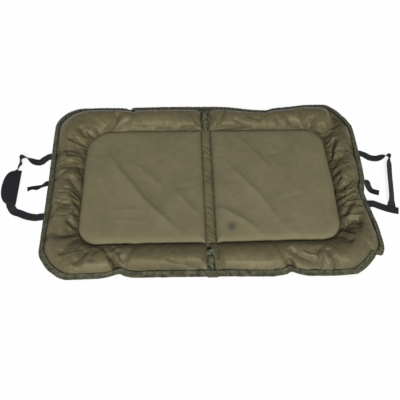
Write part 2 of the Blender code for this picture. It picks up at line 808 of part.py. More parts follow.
def make_tab(frame, tag, route, patch, patch_thickness):
    """A closing tab and the patch near its end, on top, that meets the other tab's."""
    body = tag + "_tab"
    made = strap(route, TAB_WIDTH, WEBBING_THICKNESS, TAB_STEPS)
    frame.piece("closure_tab_" + tag, body, "webbing", *made)
    lift = WEBBING_THICKNESS / 2 + SEWN_GAP + patch_thickness / 2
    width = TAB_WIDTH - 2 * PATCH_MARGIN
    span = (patch_start_share, patch_end_share)
    made = strap(route, width, patch_thickness, PATCH_STEPS, *span, lift)
    frame.piece(patch, body, "hook", *made)


def make_tabs(frame):
    place = (LEFT_TAB_REACH, LEFT_TAB_ROOT_Y, LEFT_TAB_SWING, TAB_WIDTH)
    route = route_of(-1, left_tab_shares, *place)
    make_tab(frame, "left", route, "tab_hook_patch", HOOK_THICKNESS)
    place = (RIGHT_TAB_REACH, RIGHT_TAB_ROOT_Y, RIGHT_TAB_SWING, TAB_WIDTH)
    route = route_of(1, right_tab_shares, *place)
    make_tab(frame, "right", route, "tab_loop_patch", LOOP_THICKNESS)


def centre_over_origin(frame):
    """Moves the whole mat so that its outline is centred over the origin."""
    bpy.context.view_layer.update()
    corners = [
        made.matrix_world @ Vector(corner)
        for made in bpy.data.objects
        if made.type == "MESH"
        for corner in made.bound_box
    ]
    root = frame.pivots["left_half"][0]
    for axis in (0, 1):
        middle = (min(c[axis] for c in corners) + max(c[axis] for c in corners)) / 2
        root.location[axis] -= middle
    bpy.context.view_layer.update()


def place_bodies(frame):
    """An empty for each body: the root, the strip's two seams, and each strap's sewn root."""
    edge = MAT_WIDTH / 2 + ROOT_GAP
    seam = STRIP_WIDTH / 2
    wrap_fold = MAT_WIDTH / 2 + WRAP_FOLD_REACH
    frame.body("left_half", (0, 0, 0))
    frame.body("fold_strip", (-seam, 0, SEAM_TOP), "left_half")
    frame.body("right_half", (seam, 0, SEAM_TOP), "fold_strip")
    frame.body("left_handle", (-edge, 0, PINCH_HEIGHT), "left_half")
    frame.body("wrap_flap", (-wrap_fold, 0, WRAP_WEBBING_HEIGHT), "left_handle")
    frame.body("right_handle", (edge, 0, PINCH_HEIGHT), "right_half")
    frame.body("left_tab", (-edge, 0, PINCH_HEIGHT), "left_half")
    frame.body("right_tab", (edge, 0, PINCH_HEIGHT), "right_half")


def make_half(frame, side, tag, notches, strap_ends):
    half = Half(frame, side, tag + "_half", tag, notches)
    half.make_base_sheet()
    half.make_rim_cover()
    half.make_rim_filling()
    half.make_panel()
    half.make_binding()
    half.make_tacks(strap_ends)


def main():
    clear_scene()
    frame = Frame()
    place_bodies(frame)
    back = LEFT_HANDLE_SPAN / 2
    ends = {"back": back, "tab": LEFT_TAB_ROOT_Y, "front": -back}
    make_half(frame, -1, "left", left_notch_shares, ends)
    back = RIGHT_HANDLE_CENTRE + RIGHT_HANDLE_SPAN / 2
    front = RIGHT_HANDLE_CENTRE - RIGHT_HANDLE_SPAN / 2
    ends = {"back": back, "tab": RIGHT_TAB_ROOT_Y, "front": front}
    make_half(frame, 1, "right", right_notch_shares, ends)
    make_strip(frame)
    make_left_handle(frame)
    make_wrap(frame)
    make_right_handle(frame)
    make_tabs(frame)
    centre_over_origin(frame)
    for name, (empty, _) in frame.pivots.items():
        print(name, [round(value, 5) for value in empty.matrix_world.translation])


main()
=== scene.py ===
# %% [markdown]
# # Dressing a folding unhooking mat
# The mat is two padded halves in a stuffed rim, with webbing handles and closing tabs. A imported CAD
# model already holds every piece at its real size, and here each soft piece gets its real surface.
# The frame is loaded first, because every place and height below is measured on it.

# %% Load the frame
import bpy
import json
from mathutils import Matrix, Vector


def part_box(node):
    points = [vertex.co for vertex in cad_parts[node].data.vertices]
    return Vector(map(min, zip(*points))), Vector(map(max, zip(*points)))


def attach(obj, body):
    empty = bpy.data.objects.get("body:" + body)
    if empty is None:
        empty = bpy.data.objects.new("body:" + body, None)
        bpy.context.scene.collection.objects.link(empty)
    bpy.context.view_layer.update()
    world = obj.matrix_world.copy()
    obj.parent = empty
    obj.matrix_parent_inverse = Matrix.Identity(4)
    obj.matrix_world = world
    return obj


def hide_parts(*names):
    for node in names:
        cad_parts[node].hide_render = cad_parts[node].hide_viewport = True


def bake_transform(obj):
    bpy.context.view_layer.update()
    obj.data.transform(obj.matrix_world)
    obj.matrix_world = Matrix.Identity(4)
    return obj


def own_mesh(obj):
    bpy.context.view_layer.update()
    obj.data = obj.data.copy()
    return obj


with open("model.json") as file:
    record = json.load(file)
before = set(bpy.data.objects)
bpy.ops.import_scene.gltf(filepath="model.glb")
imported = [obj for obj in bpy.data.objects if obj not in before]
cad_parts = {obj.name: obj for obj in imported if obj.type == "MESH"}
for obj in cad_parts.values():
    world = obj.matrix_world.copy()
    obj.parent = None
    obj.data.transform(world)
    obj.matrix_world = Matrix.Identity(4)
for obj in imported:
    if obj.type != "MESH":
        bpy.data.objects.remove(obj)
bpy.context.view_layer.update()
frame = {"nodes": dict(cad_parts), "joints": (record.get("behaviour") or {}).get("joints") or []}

# %% Blender's modules
import json
import math
import random

import bmesh
import bpy
import numpy as np
from mathutils import Matrix, Vector, noise

scene = bpy.context.scene
scene.view_settings.view_transform = "Standard"
print("Blender", bpy.app.version_string)

# %% [markdown]
# ## Measures
# The mat folds over a narrow strip, so the two hinge axes give the middle, the strip's width and the
# height of the sewn seams. The boxes of the CAD nodes give how far the edge, the panel and the rim
# reach. Places below are then written from the middle of the strip, which is easier to picture.

# %% Measures from the frame
joints = {joint["name"]: joint for joint in frame["joints"]}
hinge_left = Vector(joints["fold_left"]["pos_m"])
hinge_right = Vector(joints["fold_right"]["pos_m"])
FOLD_X = (hinge_left.x + hinge_right.x) / 2
STRIP_HALF = (hinge_right.x - hinge_left.x) / 2
SEAM_TOP = hinge_left.z
binding_low, binding_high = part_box("edge_binding_left")
panel_low, panel_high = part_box("panel_cover_left")
EDGE_X = FOLD_X - binding_low.x
EDGE_Y = binding_high.y
PANEL_X = FOLD_X - panel_low.x
PANEL_Y = panel_high.y
PANEL_TOP = panel_high.z
RIM_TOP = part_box("rim_cover_left")[1].z
PINCH = (binding_low.z + binding_high.z) / 2
BINDING_HEIGHT = binding_high.z - binding_low.z
BASE_AT_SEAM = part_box("base_sheet_left")[1].z
BASE_CLOTH = 0.0010
print(f"edge {EDGE_X:.3f} x {EDGE_Y:.3f} m, panel {PANEL_X:.3f} x {PANEL_Y:.3f} m, rim {RIM_TOP:.3f} m")

# %% Sizes of the sewing
EDGE_RADIUS = 0.090
PANEL_RADIUS = 0.065
BINDING_WIDTH = 0.014
SEAM_FOOT = 0.018
UNDER_GAP = 0.0005
GRID = 0.004
HALF_X = EDGE_X - STRIP_HALF
PANEL_REACH = PANEL_X - STRIP_HALF
print(f"half {HALF_X:.3f} m wide, panel {PANEL_REACH:.3f} m")

# %% [markdown]
# ## Camera
# The picture was taken standing in front of the mat and looking steeply down. The camera's place,
# turn and lens come from matching the corners of the mat, so the drawing and the picture agree. A
# camera looks along its own -Z axis, so its axes are built from the direction it looks in.

# %% Camera
CAMERA_AT = (-0.091, -0.978, 1.384)
CAMERA_YAW = 3.95
CAMERA_DOWN = 56.24
CAMERA_ROLL = 2.4
CAMERA_LENS = 48.38


def place_camera():
    """The picture's camera: turned to the right, tipped down, then rolled about its own view."""
    yaw, down, roll = (math.radians(turn) for turn in (CAMERA_YAW, CAMERA_DOWN, CAMERA_ROLL))
    ahead = Vector((math.sin(yaw) * math.cos(down), math.cos(yaw) * math.cos(down), -math.sin(down)))
    right = ahead.cross(Vector((0, 0, 1))).normalized()
    up = right.cross(ahead)
    across = right * math.cos(roll) + up * math.sin(roll)
    upward = up * math.cos(roll) - right * math.sin(roll)
    data = bpy.data.cameras.new("camera")
    data.lens = CAMERA_LENS
    camera = bpy.data.objects.new("camera", data)
    scene.collection.objects.link(camera)
    turned = Matrix((across, upward, -ahead)).transposed().to_4x4()
    camera.matrix_world = Matrix.Translation(Vector(CAMERA_AT) + Vector((FOLD_X, 0, 0))) @ turned
    scene.camera = camera
    return camera.matrix_world.copy()


camera_place = place_camera()
print("camera at", [round(value, 3) for value in camera_place.translation])

# %% [markdown]
# ## Places read off the picture
# A fold is easiest to point at in the photograph itself, so the folds below are noted as its pixels.
# With the camera known, a pixel is a line of sight, and the fold lies where that line first meets the
# cloth.

# %% From a pixel to the cloth
PICTURE = 400
SENSOR = 36.0
FOCAL_PIXELS = CAMERA_LENS / SENSOR * PICTURE
NEAR_PIXELS = 0.9
NEAREST_SPARE = 0.01
SAME_LAYER = 0.006


def in_picture(points):
    """The pixel at which each point shows, and how far it lies in front of the camera."""
    turned = np.array(camera_place.inverted())
    seen = points @ turned[:3, :3].T + turned[:3, 3]
    ahead = -seen[:, 2]
    return PICTURE / 2 + FOCAL_PIXELS * seen[:, :2] * (1, -1) / ahead[:, None], ahead


def sight(pixel, level):
    """Where the line of sight through one pixel meets one height."""
    across = (pixel[0] - PICTURE / 2) / FOCAL_PIXELS
    up = (PICTURE / 2 - pixel[1]) / FOCAL_PIXELS
    start = camera_place.translation
    direction = camera_place.to_3x3() @ Vector((across, up, -1.0))
    return start + direction * ((level - start.z) / direction.z)


def on_cloth(grid, line):
    """The plan places of a line of pixels on a surface, taking the layer nearest the camera."""
    points = grid.reshape(-1, 3)
    pixels, ahead = in_picture(points)
    found = []
    for pixel in line:
        apart = np.linalg.norm(pixels - np.array(pixel), axis=1)
        near = apart < max(NEAR_PIXELS, apart.min() + NEAREST_SPARE)
        layer = np.flatnonzero(near & (ahead < ahead[near].min() + SAME_LAYER))
        best = layer[apart[layer].argmin()]
        found.append(tuple(sight(pixel, points[best, 2])[:2]))
    return found


pixel_step = (sight((201, 200), 0) - sight((200, 200), 0)).length
print(f"one pixel in the middle of the mat is {1000 * pixel_step:.2f} mm")

# %% [markdown]
# ## Shader arithmetic
# A material is a graph of nodes. Wiring Math nodes by hand hides what they work out, so a small class
# wraps a socket and lets Python's own + - * build those nodes. Everything else, such as a noise or a
# ramp, comes from one method that sets the node's options first and then its sockets.


# %% Wires and finishes
class Wire:
    """A value that runs through a shader; arithmetic on it adds Math nodes."""

    def __init__(self, finish, socket):
        self.finish = finish
        self.socket = socket

    def __add__(self, other):
        return self.finish.math("ADD", self, other)

    def __sub__(self, other):
        return self.finish.math("SUBTRACT", self, other)

    def __rsub__(self, other):
        return self.finish.math("SUBTRACT", other, self)

    def __mul__(self, other):
        return self.finish.math("MULTIPLY", self, other)

    __radd__ = __add__
    __rmul__ = __mul__


class Finish:
    """A material under construction, around its Principled shader."""

    def __init__(self, name, **uniform):
        self.slot = name
        self.material = bpy.data.materials.new(name + "_look")
        self.material.use_nodes = True
        self.tree = self.material.node_tree
        self.shader = self.tree.nodes["Principled BSDF"]
        for socket, value in uniform.items():
            self.shader.inputs[socket.replace("_", " ")].default_value = value

    def join(self, socket, value):
        """Links a wire to a socket, or sets the socket to a plain value."""
        if isinstance(value, Wire):
            self.tree.links.new(value.socket, socket)
        else:
            socket.default_value = value

    def add(self, kind, settings, sockets, output=0):
        """Adds a node, sets its options and then its sockets, and gives one output as a wire."""
        node = self.tree.nodes.new(kind)
        for name, value in settings.items():
            if name == "stops":
                self.set_stops(node.color_ramp, value)
            else:
                setattr(node, name, value)
        for name, value in sockets.items():
            self.join(node.inputs[name], value)
        return Wire(self, node.outputs[output])

    def set_stops(self, ramp, stops):
        while len(ramp.elements) < len(stops):
            ramp.elements.new(0.5)
        for element, (place, colour) in zip(ramp.elements, stops):
            element.position = place
            element.color = colour

    def math(self, operation, a, b):
        return self.add("ShaderNodeMath", {"operation": operation}, {0: a, 1: b})

    def share(self, value, low, high):
        """Where a value lies between low and high, held within 0 and 1."""
        sockets = {"Value": value, "From Min": low, "From Max": high}
        return self.add("ShaderNodeMapRange", {"clamp": True}, sockets)

    def mix(self, factor, a, b):
        return self.add("ShaderNodeMix", {"data_type": "RGBA"}, {0: factor, 6: a, 7: b}, 2)

    def place(self):
        return self.add("ShaderNodeTexCoord", {}, {}, "Object")

    def cloud(self, scale, detail, rough):
        sockets = {"Vector": self.place(), "Scale": scale, "Detail": detail, "Roughness": rough}
        return self.add("ShaderNodeTexNoise", {}, sockets, "Fac")

    def pressed(self):
        """The painted shade at each point, as its mesh keeps it."""
        return self.add("ShaderNodeAttribute", {"attribute_name": "pressed"}, {}, "Fac")

    def threads(self, at, scale, axis):
        settings = {"wave_type": "BANDS", "bands_direction": axis}
        return self.add("ShaderNodeTexWave", settings, {"Vector": at, "Scale": scale}, "Fac")

    def bump(self, height, strength, distance, normal=None):
        sockets = {"Height": height, "Strength": strength, "Distance": distance}
        if normal:
            sockets["Normal"] = normal
        return self.add("ShaderNodeBump", {}, sockets)

    def wear(self, socket, value):
        self.join(self.shader.inputs[socket], value)
        return self


def from_screen(red, green, blue):
    """A colour given as it looks on screen, 0 to 255, as the linear values that a shader takes."""
    shares = [value / 255 for value in (red, green, blue)]
    linear = [s / 12.92 if s <= 0.04045 else ((s + 0.055) / 1.055) ** 2.4 for s in shares]
    return (*linear, 1.0)


print("olive on screen is", [round(value, 3) for value in from_screen(109, 102, 77)], "in a shader")

# %% [markdown]
# ## Studio
# The mat lies on a white sheet under a large soft lamp. The lamp hangs high and a little in front and
# to the right, which is why the slopes of the rim that face away from the viewer read dark. The floor
# shows nearly white to the camera by emission, so no lamp has to be strong enough to bleach the
# cloth, and it still takes the mat's soft shadow.

# %% Studio
FLOOR_SIZE = 6.0
FLOOR_DROP = 0.0004
FLOOR_COLOUR = (0.95, 0.95, 0.95, 1.0)
FLOOR_GLOW = 0.85
KEY_TURN = 2
KEY_HEIGHT = 42
KEY_SPREAD = 18
KEY_LEVEL = 3.75
FILL_LEVEL = 0.20


def make_floor():
    """A plain white sheet that glows to the camera and takes shadows."""
    low = -FLOOR_DROP
    reach = FLOOR_SIZE / 2
    corners = [(-reach, -reach, low), (reach, -reach, low), (reach, reach, low), (-reach, reach, low)]
    mesh = bpy.data.meshes.new("floor")
    mesh.from_pydata(corners, [], [(0, 1, 2, 3)])
    floor = bpy.data.objects.new("floor", mesh)
    scene.collection.objects.link(floor)
    finish = Finish("white_floor", Base_Color=FLOOR_COLOUR, Roughness=1.0)
    rays = finish.add("ShaderNodeLightPath", {}, {}, "Is Camera Ray")
    glossy = finish.add("ShaderNodeLightPath", {}, {}, "Is Glossy Ray")
    seen = finish.math("MAXIMUM", rays, glossy)
    glow = finish.add("ShaderNodeEmission", {}, {"Color": (1, 1, 1, 1), "Strength": 1.0})
    shown = finish.tree.nodes.new("ShaderNodeMixShader")
    finish.join(shown.inputs[0], seen * FLOOR_GLOW)
    finish.tree.links.new(finish.shader.outputs[0], shown.inputs[1])
    finish.tree.links.new(glow.socket, shown.inputs[2])
    output = finish.tree.nodes["Material Output"]
    finish.tree.links.new(shown.outputs[0], output.inputs["Surface"])
    mesh.materials.append(finish.material)


def make_key():
    """The lamp: a sun with a wide disc, which gives soft edges to the shadows."""
    data = bpy.data.lights.new("key", "SUN")
    data.energy = KEY_LEVEL
    data.angle = math.radians(KEY_SPREAD)
    lamp = bpy.data.objects.new("key", data)
    turn, height = math.radians(KEY_TURN), math.radians(KEY_HEIGHT)
    level = math.cos(height)
    towards = Vector((math.sin(turn) * level, -math.cos(turn) * level, math.sin(height)))
    lamp.rotation_euler = (-towards).to_track_quat("-Z", "Y").to_euler()
    scene.collection.objects.link(lamp)


def make_world():
    """A white backdrop to the camera, and only a weak fill to the mat."""
    world = bpy.data.worlds.new("studio")
    scene.world = world
    world.use_nodes = True
    tree = world.node_tree
    rays = tree.nodes.new("ShaderNodeLightPath")
    either = tree.nodes.new("ShaderNodeMath")
    either.operation = "MAXIMUM"
    tree.links.new(rays.outputs["Is Camera Ray"], either.inputs[0])
    tree.links.new(rays.outputs["Is Transmission Ray"], either.inputs[1])
    level = tree.nodes.new("ShaderNodeMapRange")
    level.inputs["To Min"].default_value = FILL_LEVEL
    level.inputs["To Max"].default_value = 1.0
    tree.links.new(either.outputs[0], level.inputs["Value"])
    back = tree.nodes["Background"]
    back.inputs["Color"].default_value = (1, 1, 1, 1)
    tree.links.new(level.outputs[0], back.inputs["Strength"])


make_floor()
make_key()
make_world()
print("lamp", KEY_TURN, "degrees round and", KEY_HEIGHT, "up, fill", FILL_LEVEL)

# %% [markdown]
# ## Finishes
# The rim is a light coated nylon with a satin gleam: its folds catch the lamp. The panels are a
# matter, tighter cloth. Both are the same olive, uneven, with a plain weave that only a close view
# shows, and with painted shade in their seams and folds; the panels are also painted darker towards
# the back. The webbing is ribbed polyester, nearly black, and the edge tape is a dull green-grey
# whose mottle is painted light and shade of the folds it is gathered in.

# %% The mark on the right panel
STAIN_PIXEL = (231.8, 225.9)
STAIN_AT = tuple(sight(STAIN_PIXEL, PANEL_TOP))
STAIN_RADIUS = 0.020
STAIN_CORE = 0.004
STAIN_RAGGED = 0.012
STAIN_COLOUR = (80, 77, 66)
STAIN_MOST = 0.9


def stain(finish, colour):
    """A small soft mark on the panel's cloth, ragged at its rim, as a wet spot leaves."""
    ragged = finish.cloud(60.0, 3.0, 0.6)
    ends = {0: finish.place(), 1: STAIN_AT}
    apart = finish.add("ShaderNodeVectorMath", {"operation": "DISTANCE"}, ends, "Value")
    spread_of = finish.share(apart + (ragged - 0.5) * STAIN_RAGGED, STAIN_RADIUS, STAIN_CORE)
    return finish.mix(spread_of * STAIN_MOST, colour, from_screen(*STAIN_COLOUR))


print("the mark lies at", [round(value, 3) for value in STAIN_AT])

# %% Olive cloths
WEAVE = 900.0
WEAVE_HEIGHT = 0.00012
WEAVE_STRENGTH = 0.35
CRUMPLE_HEIGHT = 0.0016
UNEVEN_GLOSS = 0.18
SHEEN = (214, 202, 160)
SHADE_TONE = 0.55
SHADE_MOST = 0.85
SHADE_DULL = 0.5
tone_places = (0.32, 0.50, 0.68)


def olive_cloth(name, tones, roughness, gleam, crumple, fade=0.0):
    """Coated nylon: an uneven olive, a fine weave, a light crumple of its coating, and painted shade."""
    finish = Finish(name, Specular_IOR_Level=gleam, Specular_Tint=from_screen(*SHEEN))
    broad = finish.cloud(9.0, 3.0, 0.55)
    close = finish.cloud(46.0, 4.0, 0.6)
    depth = finish.add("ShaderNodeSeparateXYZ", {}, {"Vector": finish.place()}, "Y")
    pressed = finish.pressed()
    # Painted shade: with fade, the olive darkens towards the back, where the light falls off.
    tone = broad * 0.5 + close * 0.5 - depth * fade
    stops = [(place, from_screen(*colour)) for place, colour in zip(tone_places, tones)]
    colour = finish.add("ShaderNodeValToRGB", {"stops": stops}, {"Fac": tone})
    if fade:
        colour = stain(finish, colour)
    # Painted shade: a deeper olive, mixed in by each point's stored shade value.
    deep = from_screen(*(value * SHADE_TONE for value in tones[0]))
    finish.wear("Base Color", finish.mix(pressed * SHADE_MOST, colour, deep))
    finish.wear("Roughness", roughness + (close - 0.5) * UNEVEN_GLOSS + pressed * SHADE_DULL)
    place = finish.place()
    weave = finish.threads(place, WEAVE, "X") + finish.threads(place, WEAVE, "Y")
    folds = finish.cloud(95.0, 3.0, 0.62)
    fine = finish.bump(weave, WEAVE_STRENGTH, WEAVE_HEIGHT)
    finish.wear("Normal", finish.bump(folds, crumple, CRUMPLE_HEIGHT, fine))
    return finish


rim_tones = ((82, 77, 56), (92, 86, 64), (102, 96, 73))
panel_tones = ((103, 98, 74), (110, 105, 80), (116, 111, 85))
# Painted shade: the strip is the panels' nylon in darker tones, for the narrow valley it lies in.
strip_shaded_tones = ((84, 79, 58), (97, 91, 68), (109, 103, 79))
gather_tones = ((72, 73, 57), (86, 86, 68), (102, 101, 82))
base_tones = ((56, 56, 44), (62, 62, 48), (68, 68, 53))
rim_nylon = olive_cloth("rim_nylon", rim_tones, 0.41, 0.42, 0.22)
panel_nylon = olive_cloth("panel_nylon", panel_tones, 0.62, 0.30, 0.16, 0.55)
strip_cloth = olive_cloth("panel_nylon", strip_shaded_tones, 0.58, 0.30, 0.30)
gather_cloth = olive_cloth("rim_nylon", gather_tones, 0.50, 0.32, 0.30)
base_cloth = olive_cloth("base_cloth", base_tones, 0.72, 0.3, 0.2)
print("olive cloths:", rim_nylon.material.name, panel_nylon.material.name, base_cloth.material.name)

# %% The edge tape
# Painted light and shade: the tape's mottle stands for the light and shade on its gathered folds.
tape_stops = (
    (0.34, from_screen(50, 49, 39)),
    (0.45, from_screen(76, 75, 58)),
    (0.55, from_screen(91, 89, 69)),
    (0.68, from_screen(109, 106, 85)),
)
TAPE_PAINTED_SHADE = from_screen(34, 35, 26)
TAPE_RELIEF = 0.0004


def mottled_tape():
    """Gathered woven tape: patches of painted light and shade on its folds, over the same plain weave."""
    finish = Finish("binding_tape", Specular_IOR_Level=0.3)
    patches = finish.cloud(70.0, 5.0, 0.65)
    colour = finish.add("ShaderNodeValToRGB", {"stops": tape_stops}, {"Fac": patches})
    finish.wear("Base Color", finish.mix(finish.pressed() * SHADE_MOST, colour, TAPE_PAINTED_SHADE))
    finish.wear("Roughness", 0.68 + patches * 0.2)
    ribs = finish.threads(finish.place(), WEAVE, "X") + finish.threads(finish.place(), WEAVE, "Y")
    finish.wear("Normal", finish.bump(ribs + patches * 3.0, 0.6, TAPE_RELIEF))
    return finish


binding_tape = mottled_tape()
print("tape:", binding_tape.material.name)

# %% Webbing, wrap cloth and thread
RIBS = 340.0
RIB_ROWS = 0.45
RIB_RELIEF = 0.0005
DUSTY = 1.6
WORN = 1.5


def paler(colour, times):
    """The same screen colour in a shader, with its light raised."""
    return (*(min(1.0, value * times) for value in from_screen(*colour)[:3]), 1.0)


def ribbed_webbing(name, colour, scale):
    """Woven strap: ribs run across it, so the pattern follows the strap by its UV map."""
    finish = Finish(name, Specular_IOR_Level=0.35)
    place = finish.add("ShaderNodeUVMap", {"uv_map": "run"}, {})
    ribs = finish.threads(place, scale, "X")
    rows = finish.threads(place, scale * RIB_ROWS, "Y")
    dust = finish.share(finish.cloud(60.0, 3.0, 0.6), 0.35, 0.75)
    finish.wear("Base Color", finish.mix(dust, from_screen(*colour), paler(colour, DUSTY)))
    finish.wear("Roughness", 0.70 + ribs * 0.15)
    finish.wear("Normal", finish.bump(ribs + rows * 0.6, 0.7, RIB_RELIEF))
    return finish


def soft_black(name, colour, scale, depth, roughness):
    """Napped or fibrous black: a fine pile, and a broad unevenness in its colour."""
    finish = Finish(name, Specular_IOR_Level=0.35)
    pile = finish.cloud(scale, 4.0, 0.7)
    broad = finish.cloud(30.0, 2.0, 0.5)
    finish.wear("Base Color", finish.mix(broad, from_screen(*colour), paler(colour, WORN)))
    finish.wear("Roughness", roughness + (pile - 0.5) * 0.15)
    finish.wear("Normal", finish.bump(pile, 0.6, depth))
    return finish


black_webbing = ribbed_webbing("black_webbing", (30, 31, 36), RIBS)
wrap_cloth = soft_black("wrap_cloth", (24, 24, 29), 420.0, 0.0005, 0.62)
hook_and_loop = soft_black("hook_and_loop", (20, 20, 22), 1500.0, 0.0008, 0.9)
thread = soft_black("thread", (40, 41, 38), 900.0, 0.0002, 0.7)
print("blacks:", black_webbing.material.name, wrap_cloth.material.name, thread.material.name)

# %% [markdown]
# ## Meshes from rows of points
# Cloth is easiest to shape as a grid: rows of points that run along the seams. A grid can be turned
# into faces by a rule, refined by adding a point between each pair, and pushed about with numpy.
# Refining with weights -1, 9, 9, -1 keeps the curve that the four neighbours suggest.


# %% Grid helpers
def lerp(start, end, share):
    return start + (end - start) * share


def spread(count, ease=0.5):
    """count + 1 shares from 0 to 1, closer together towards both ends."""
    even = np.linspace(0.0, 1.0, count + 1)
    return lerp(even, (1 - np.cos(np.pi * even)) / 2, ease)


def grid_faces(rows, columns, closed=False):
    """One face between each four neighbours; a closed grid joins its last column to its first."""
    faces = []
    for i in range(rows - 1):
        for j in range(columns if closed else columns - 1):
            a = i * columns + j
            b = i * columns + (j + 1) % columns
            faces.append((a, a + columns, b + columns, b))
    return faces


def refine_rows(grid):
    """Adds a row between each pair of rows, on the curve through their neighbours."""
    padded = np.concatenate([2 * grid[:1] - grid[1:2], grid, 2 * grid[-1:] - grid[-2:-1]])
    middle = (9 * (padded[1:-2] + padded[2:-1]) - padded[:-3] - padded[3:]) / 16
    fine = np.empty((2 * len(grid) - 1, *grid.shape[1:]))
    fine[0::2] = grid
    fine[1::2] = middle
    return fine


def refined(grid):
    """A grid with points added between its rows and between its columns."""
    return np.ascontiguousarray(refine_rows(refine_rows(grid).swapaxes(0, 1)).swapaxes(0, 1))


def grid_normals(grid):
    """The upward normal at each point of a grid."""
    along = np.gradient(grid, axis=0)
    across = np.gradient(grid, axis=1)
    normal = np.cross(along, across)
    normal /= np.linalg.norm(normal, axis=2, keepdims=True) + 1e-12
    return normal * np.where(normal[..., 2:] < 0, -1, 1)


def tube_faces(rings, count):
    """The faces of a tube of closed rings, count points each, with a flat cap at both ends."""
    last = (rings - 1) * count
    caps = [tuple(range(count)), tuple(last + k for k in reversed(range(count)))]
    return grid_faces(rings, count, closed=True) + caps


def thickened(points, faces, unders):
    """A sheet of points closed by a second one under it, with walls round the edge."""
    count = len(points)
    used = {(face[k - 1], face[k]) for face in faces for k in range(len(face))}
    walls = [(b, a, a + count, b + count) for a, b in sorted(used) if (b, a) not in used]
    under_faces = [tuple(i + count for i in reversed(face)) for face in faces]
    return points + unders, faces + walls + under_faces


def new_piece(name, points, faces, finish):
    """A named, smooth mesh with its faces pointing out; points are in the row frame."""
    mesh = bpy.data.meshes.new(name)
    mesh.from_pydata([tuple(map(float, point)) for point in points], [], faces)
    mesh.validate()
    shape = bmesh.new()
    shape.from_mesh(mesh)
    bmesh.ops.recalc_face_normals(shape, faces=shape.faces)
    shape.to_mesh(mesh)
    shape.free()
    mesh.shade_smooth()
    mesh.materials.append(finish.material)
    piece = bpy.data.objects.new(name, mesh)
    scene.collection.objects.link(piece)
    return piece


def shade(piece, values):
    """Stores each point's painted shade, from 0 to 1, for the finishes to read."""
    layer = piece.data.attributes.new("pressed", "FLOAT", "POINT")
    layer.data.foreach_set("value", np.clip(np.asarray(values, np.float32), 0, 1))


def bounding_text(piece):
    points = np.array([vertex.co for vertex in piece.data.vertices])
    size = (points.max(0) - points.min(0)) * 1000
    return f"{piece.name}: {len(points)} points, {size[0]:.0f} x {size[1]:.0f} x {size[2]:.0f} mm"


print("helpers ready")

# %% [markdown]
# ## The outline in plan
# Each half is a rounded rectangle with a smaller one inside it: the mat's edge and the panel's seam.
# A place on either is one number that counts the runs: 0 to 1 along the back, 1 to 2 round the back
# corner, 2 to 3 down the side, 3 to 4 round the front corner and 4 to 5 back along the front. Sewing
# pulls the edge in and lets it bulge, so a short table says how far, in metres inwards.

# %% Plan lines
left_edge_pulls = (
    (0.0, -0.001),
    (0.20, -0.002),
    (0.58, 0.001),
    (0.622, 0.011),
    (0.66, 0.003),
    (0.84, 0.001),
    (1.0, 0.003),
    (1.5, 0.002),
    (2.0, -0.002),
    (2.5, 0.002),
    (3.0, 0.004),
    (3.35, 0.012),
    (3.6, 0.012),
    (4.0, 0.003),
    (4.20, 0.004),
    (4.28, 0.009),
    (4.352, 0.019),
    (4.40, 0.011),
    (4.48, 0.005),
    (4.8, 0.004),
    (5.0, 0.003),
)
right_edge_pulls = (
    (0.0, -0.001),
    (0.15, 0.001),
    (0.315, 0.011),
    (0.437, 0.017),
    (0.522, 0.019),
    (0.582, 0.010),
    (0.74, 0.001),
    (0.86, -0.007),
    (1.0, -0.008),
    (1.3, 0.003),
    (1.6, 0.011),
    (1.85, 0.008),
    (2.1, -0.002),
    (2.3, -0.002),
    (2.47, 0.001),
    (2.61, 0.013),
    (2.75, 0.004),
    (2.86, -0.006),
    (2.97, -0.009),
    (3.12, -0.004),
    (3.22, 0.001),
    (3.30, 0.018),
    (3.5, 0.019),
    (3.75, 0.014),
    (4.0, 0.003),
    (4.15, -0.002),
    (4.33, -0.001),
    (4.405, 0.005),
    (4.455, 0.014),
    (4.505, 0.006),
    (4.62, 0.0),
    (5.0, 0.003),
)
left_seam_pulls = (
    (0.0, 0.0),
    (0.7, 0.0),
    (1.1, 0.006),
    (1.55, 0.012),
    (1.9, 0.006),
    (2.3, 0.0),
    (5.0, 0.0),
)
right_seam_pulls = ((0.0, 0.0), (2.0, 0.0), (2.5, -0.004), (3.0, 0.0), (4.2, 0.004), (5.0, 0.0))


def along_table(table, at):
    """A smooth curve through a table of (place, value) that never overshoots, read at one place."""
    k = 0
    while k < len(table) - 2 and at > table[k + 1][0]:
        k += 1
    (x0, y0), (x1, y1) = table[k], table[k + 1]
    run = x1 - x0
    t = min(max((at - x0) / run, 0.0), 1.0)
    slopes = [table_slope(table, k) * run, table_slope(table, k + 1) * run]
    rise = t * t * (3 - 2 * t)
    return lerp(y0, y1, rise) + slopes[0] * t * (1 - t) ** 2 - slopes[1] * t * t * (1 - t)


def table_slope(table, k):
    """The slope at one row of a table: level at its ends and wherever it turns back."""
    if k == 0 or k == len(table) - 1:
        return 0.0
    before = (table[k][1] - table[k - 1][1]) / (table[k][0] - table[k - 1][0])
    after = (table[k + 1][1] - table[k][1]) / (table[k + 1][0] - table[k][0])
    return 0.0 if before * after <= 0 else 2 * before * after / (before + after)


def ring_point(reach, half_depth, radius, p):
    """A place on a half's rounded outline, as distance from the strip's seam and y."""
    run = min(int(p), 4)
    t = p - run
    turn = t * math.pi / 2
    straight = reach - radius
    flat = half_depth - radius
    if run == 0:
        return Vector((lerp(0.0, straight, t), half_depth))
    if run == 1:
        return Vector((straight + radius * math.sin(turn), flat + radius * math.cos(turn)))
    if run == 2:
        return Vector((reach, flat * (1 - 2 * t)))
    if run == 3:
        return Vector((straight + radius * math.cos(turn), -flat - radius * math.sin(turn)))
    return Vector((lerp(straight, 0.0, t), -half_depth))


def seam_place(p):
    """A place on the panel's seam line, before the sewing pulls it."""
    return ring_point(PANEL_REACH, PANEL_Y, PANEL_RADIUS, p)


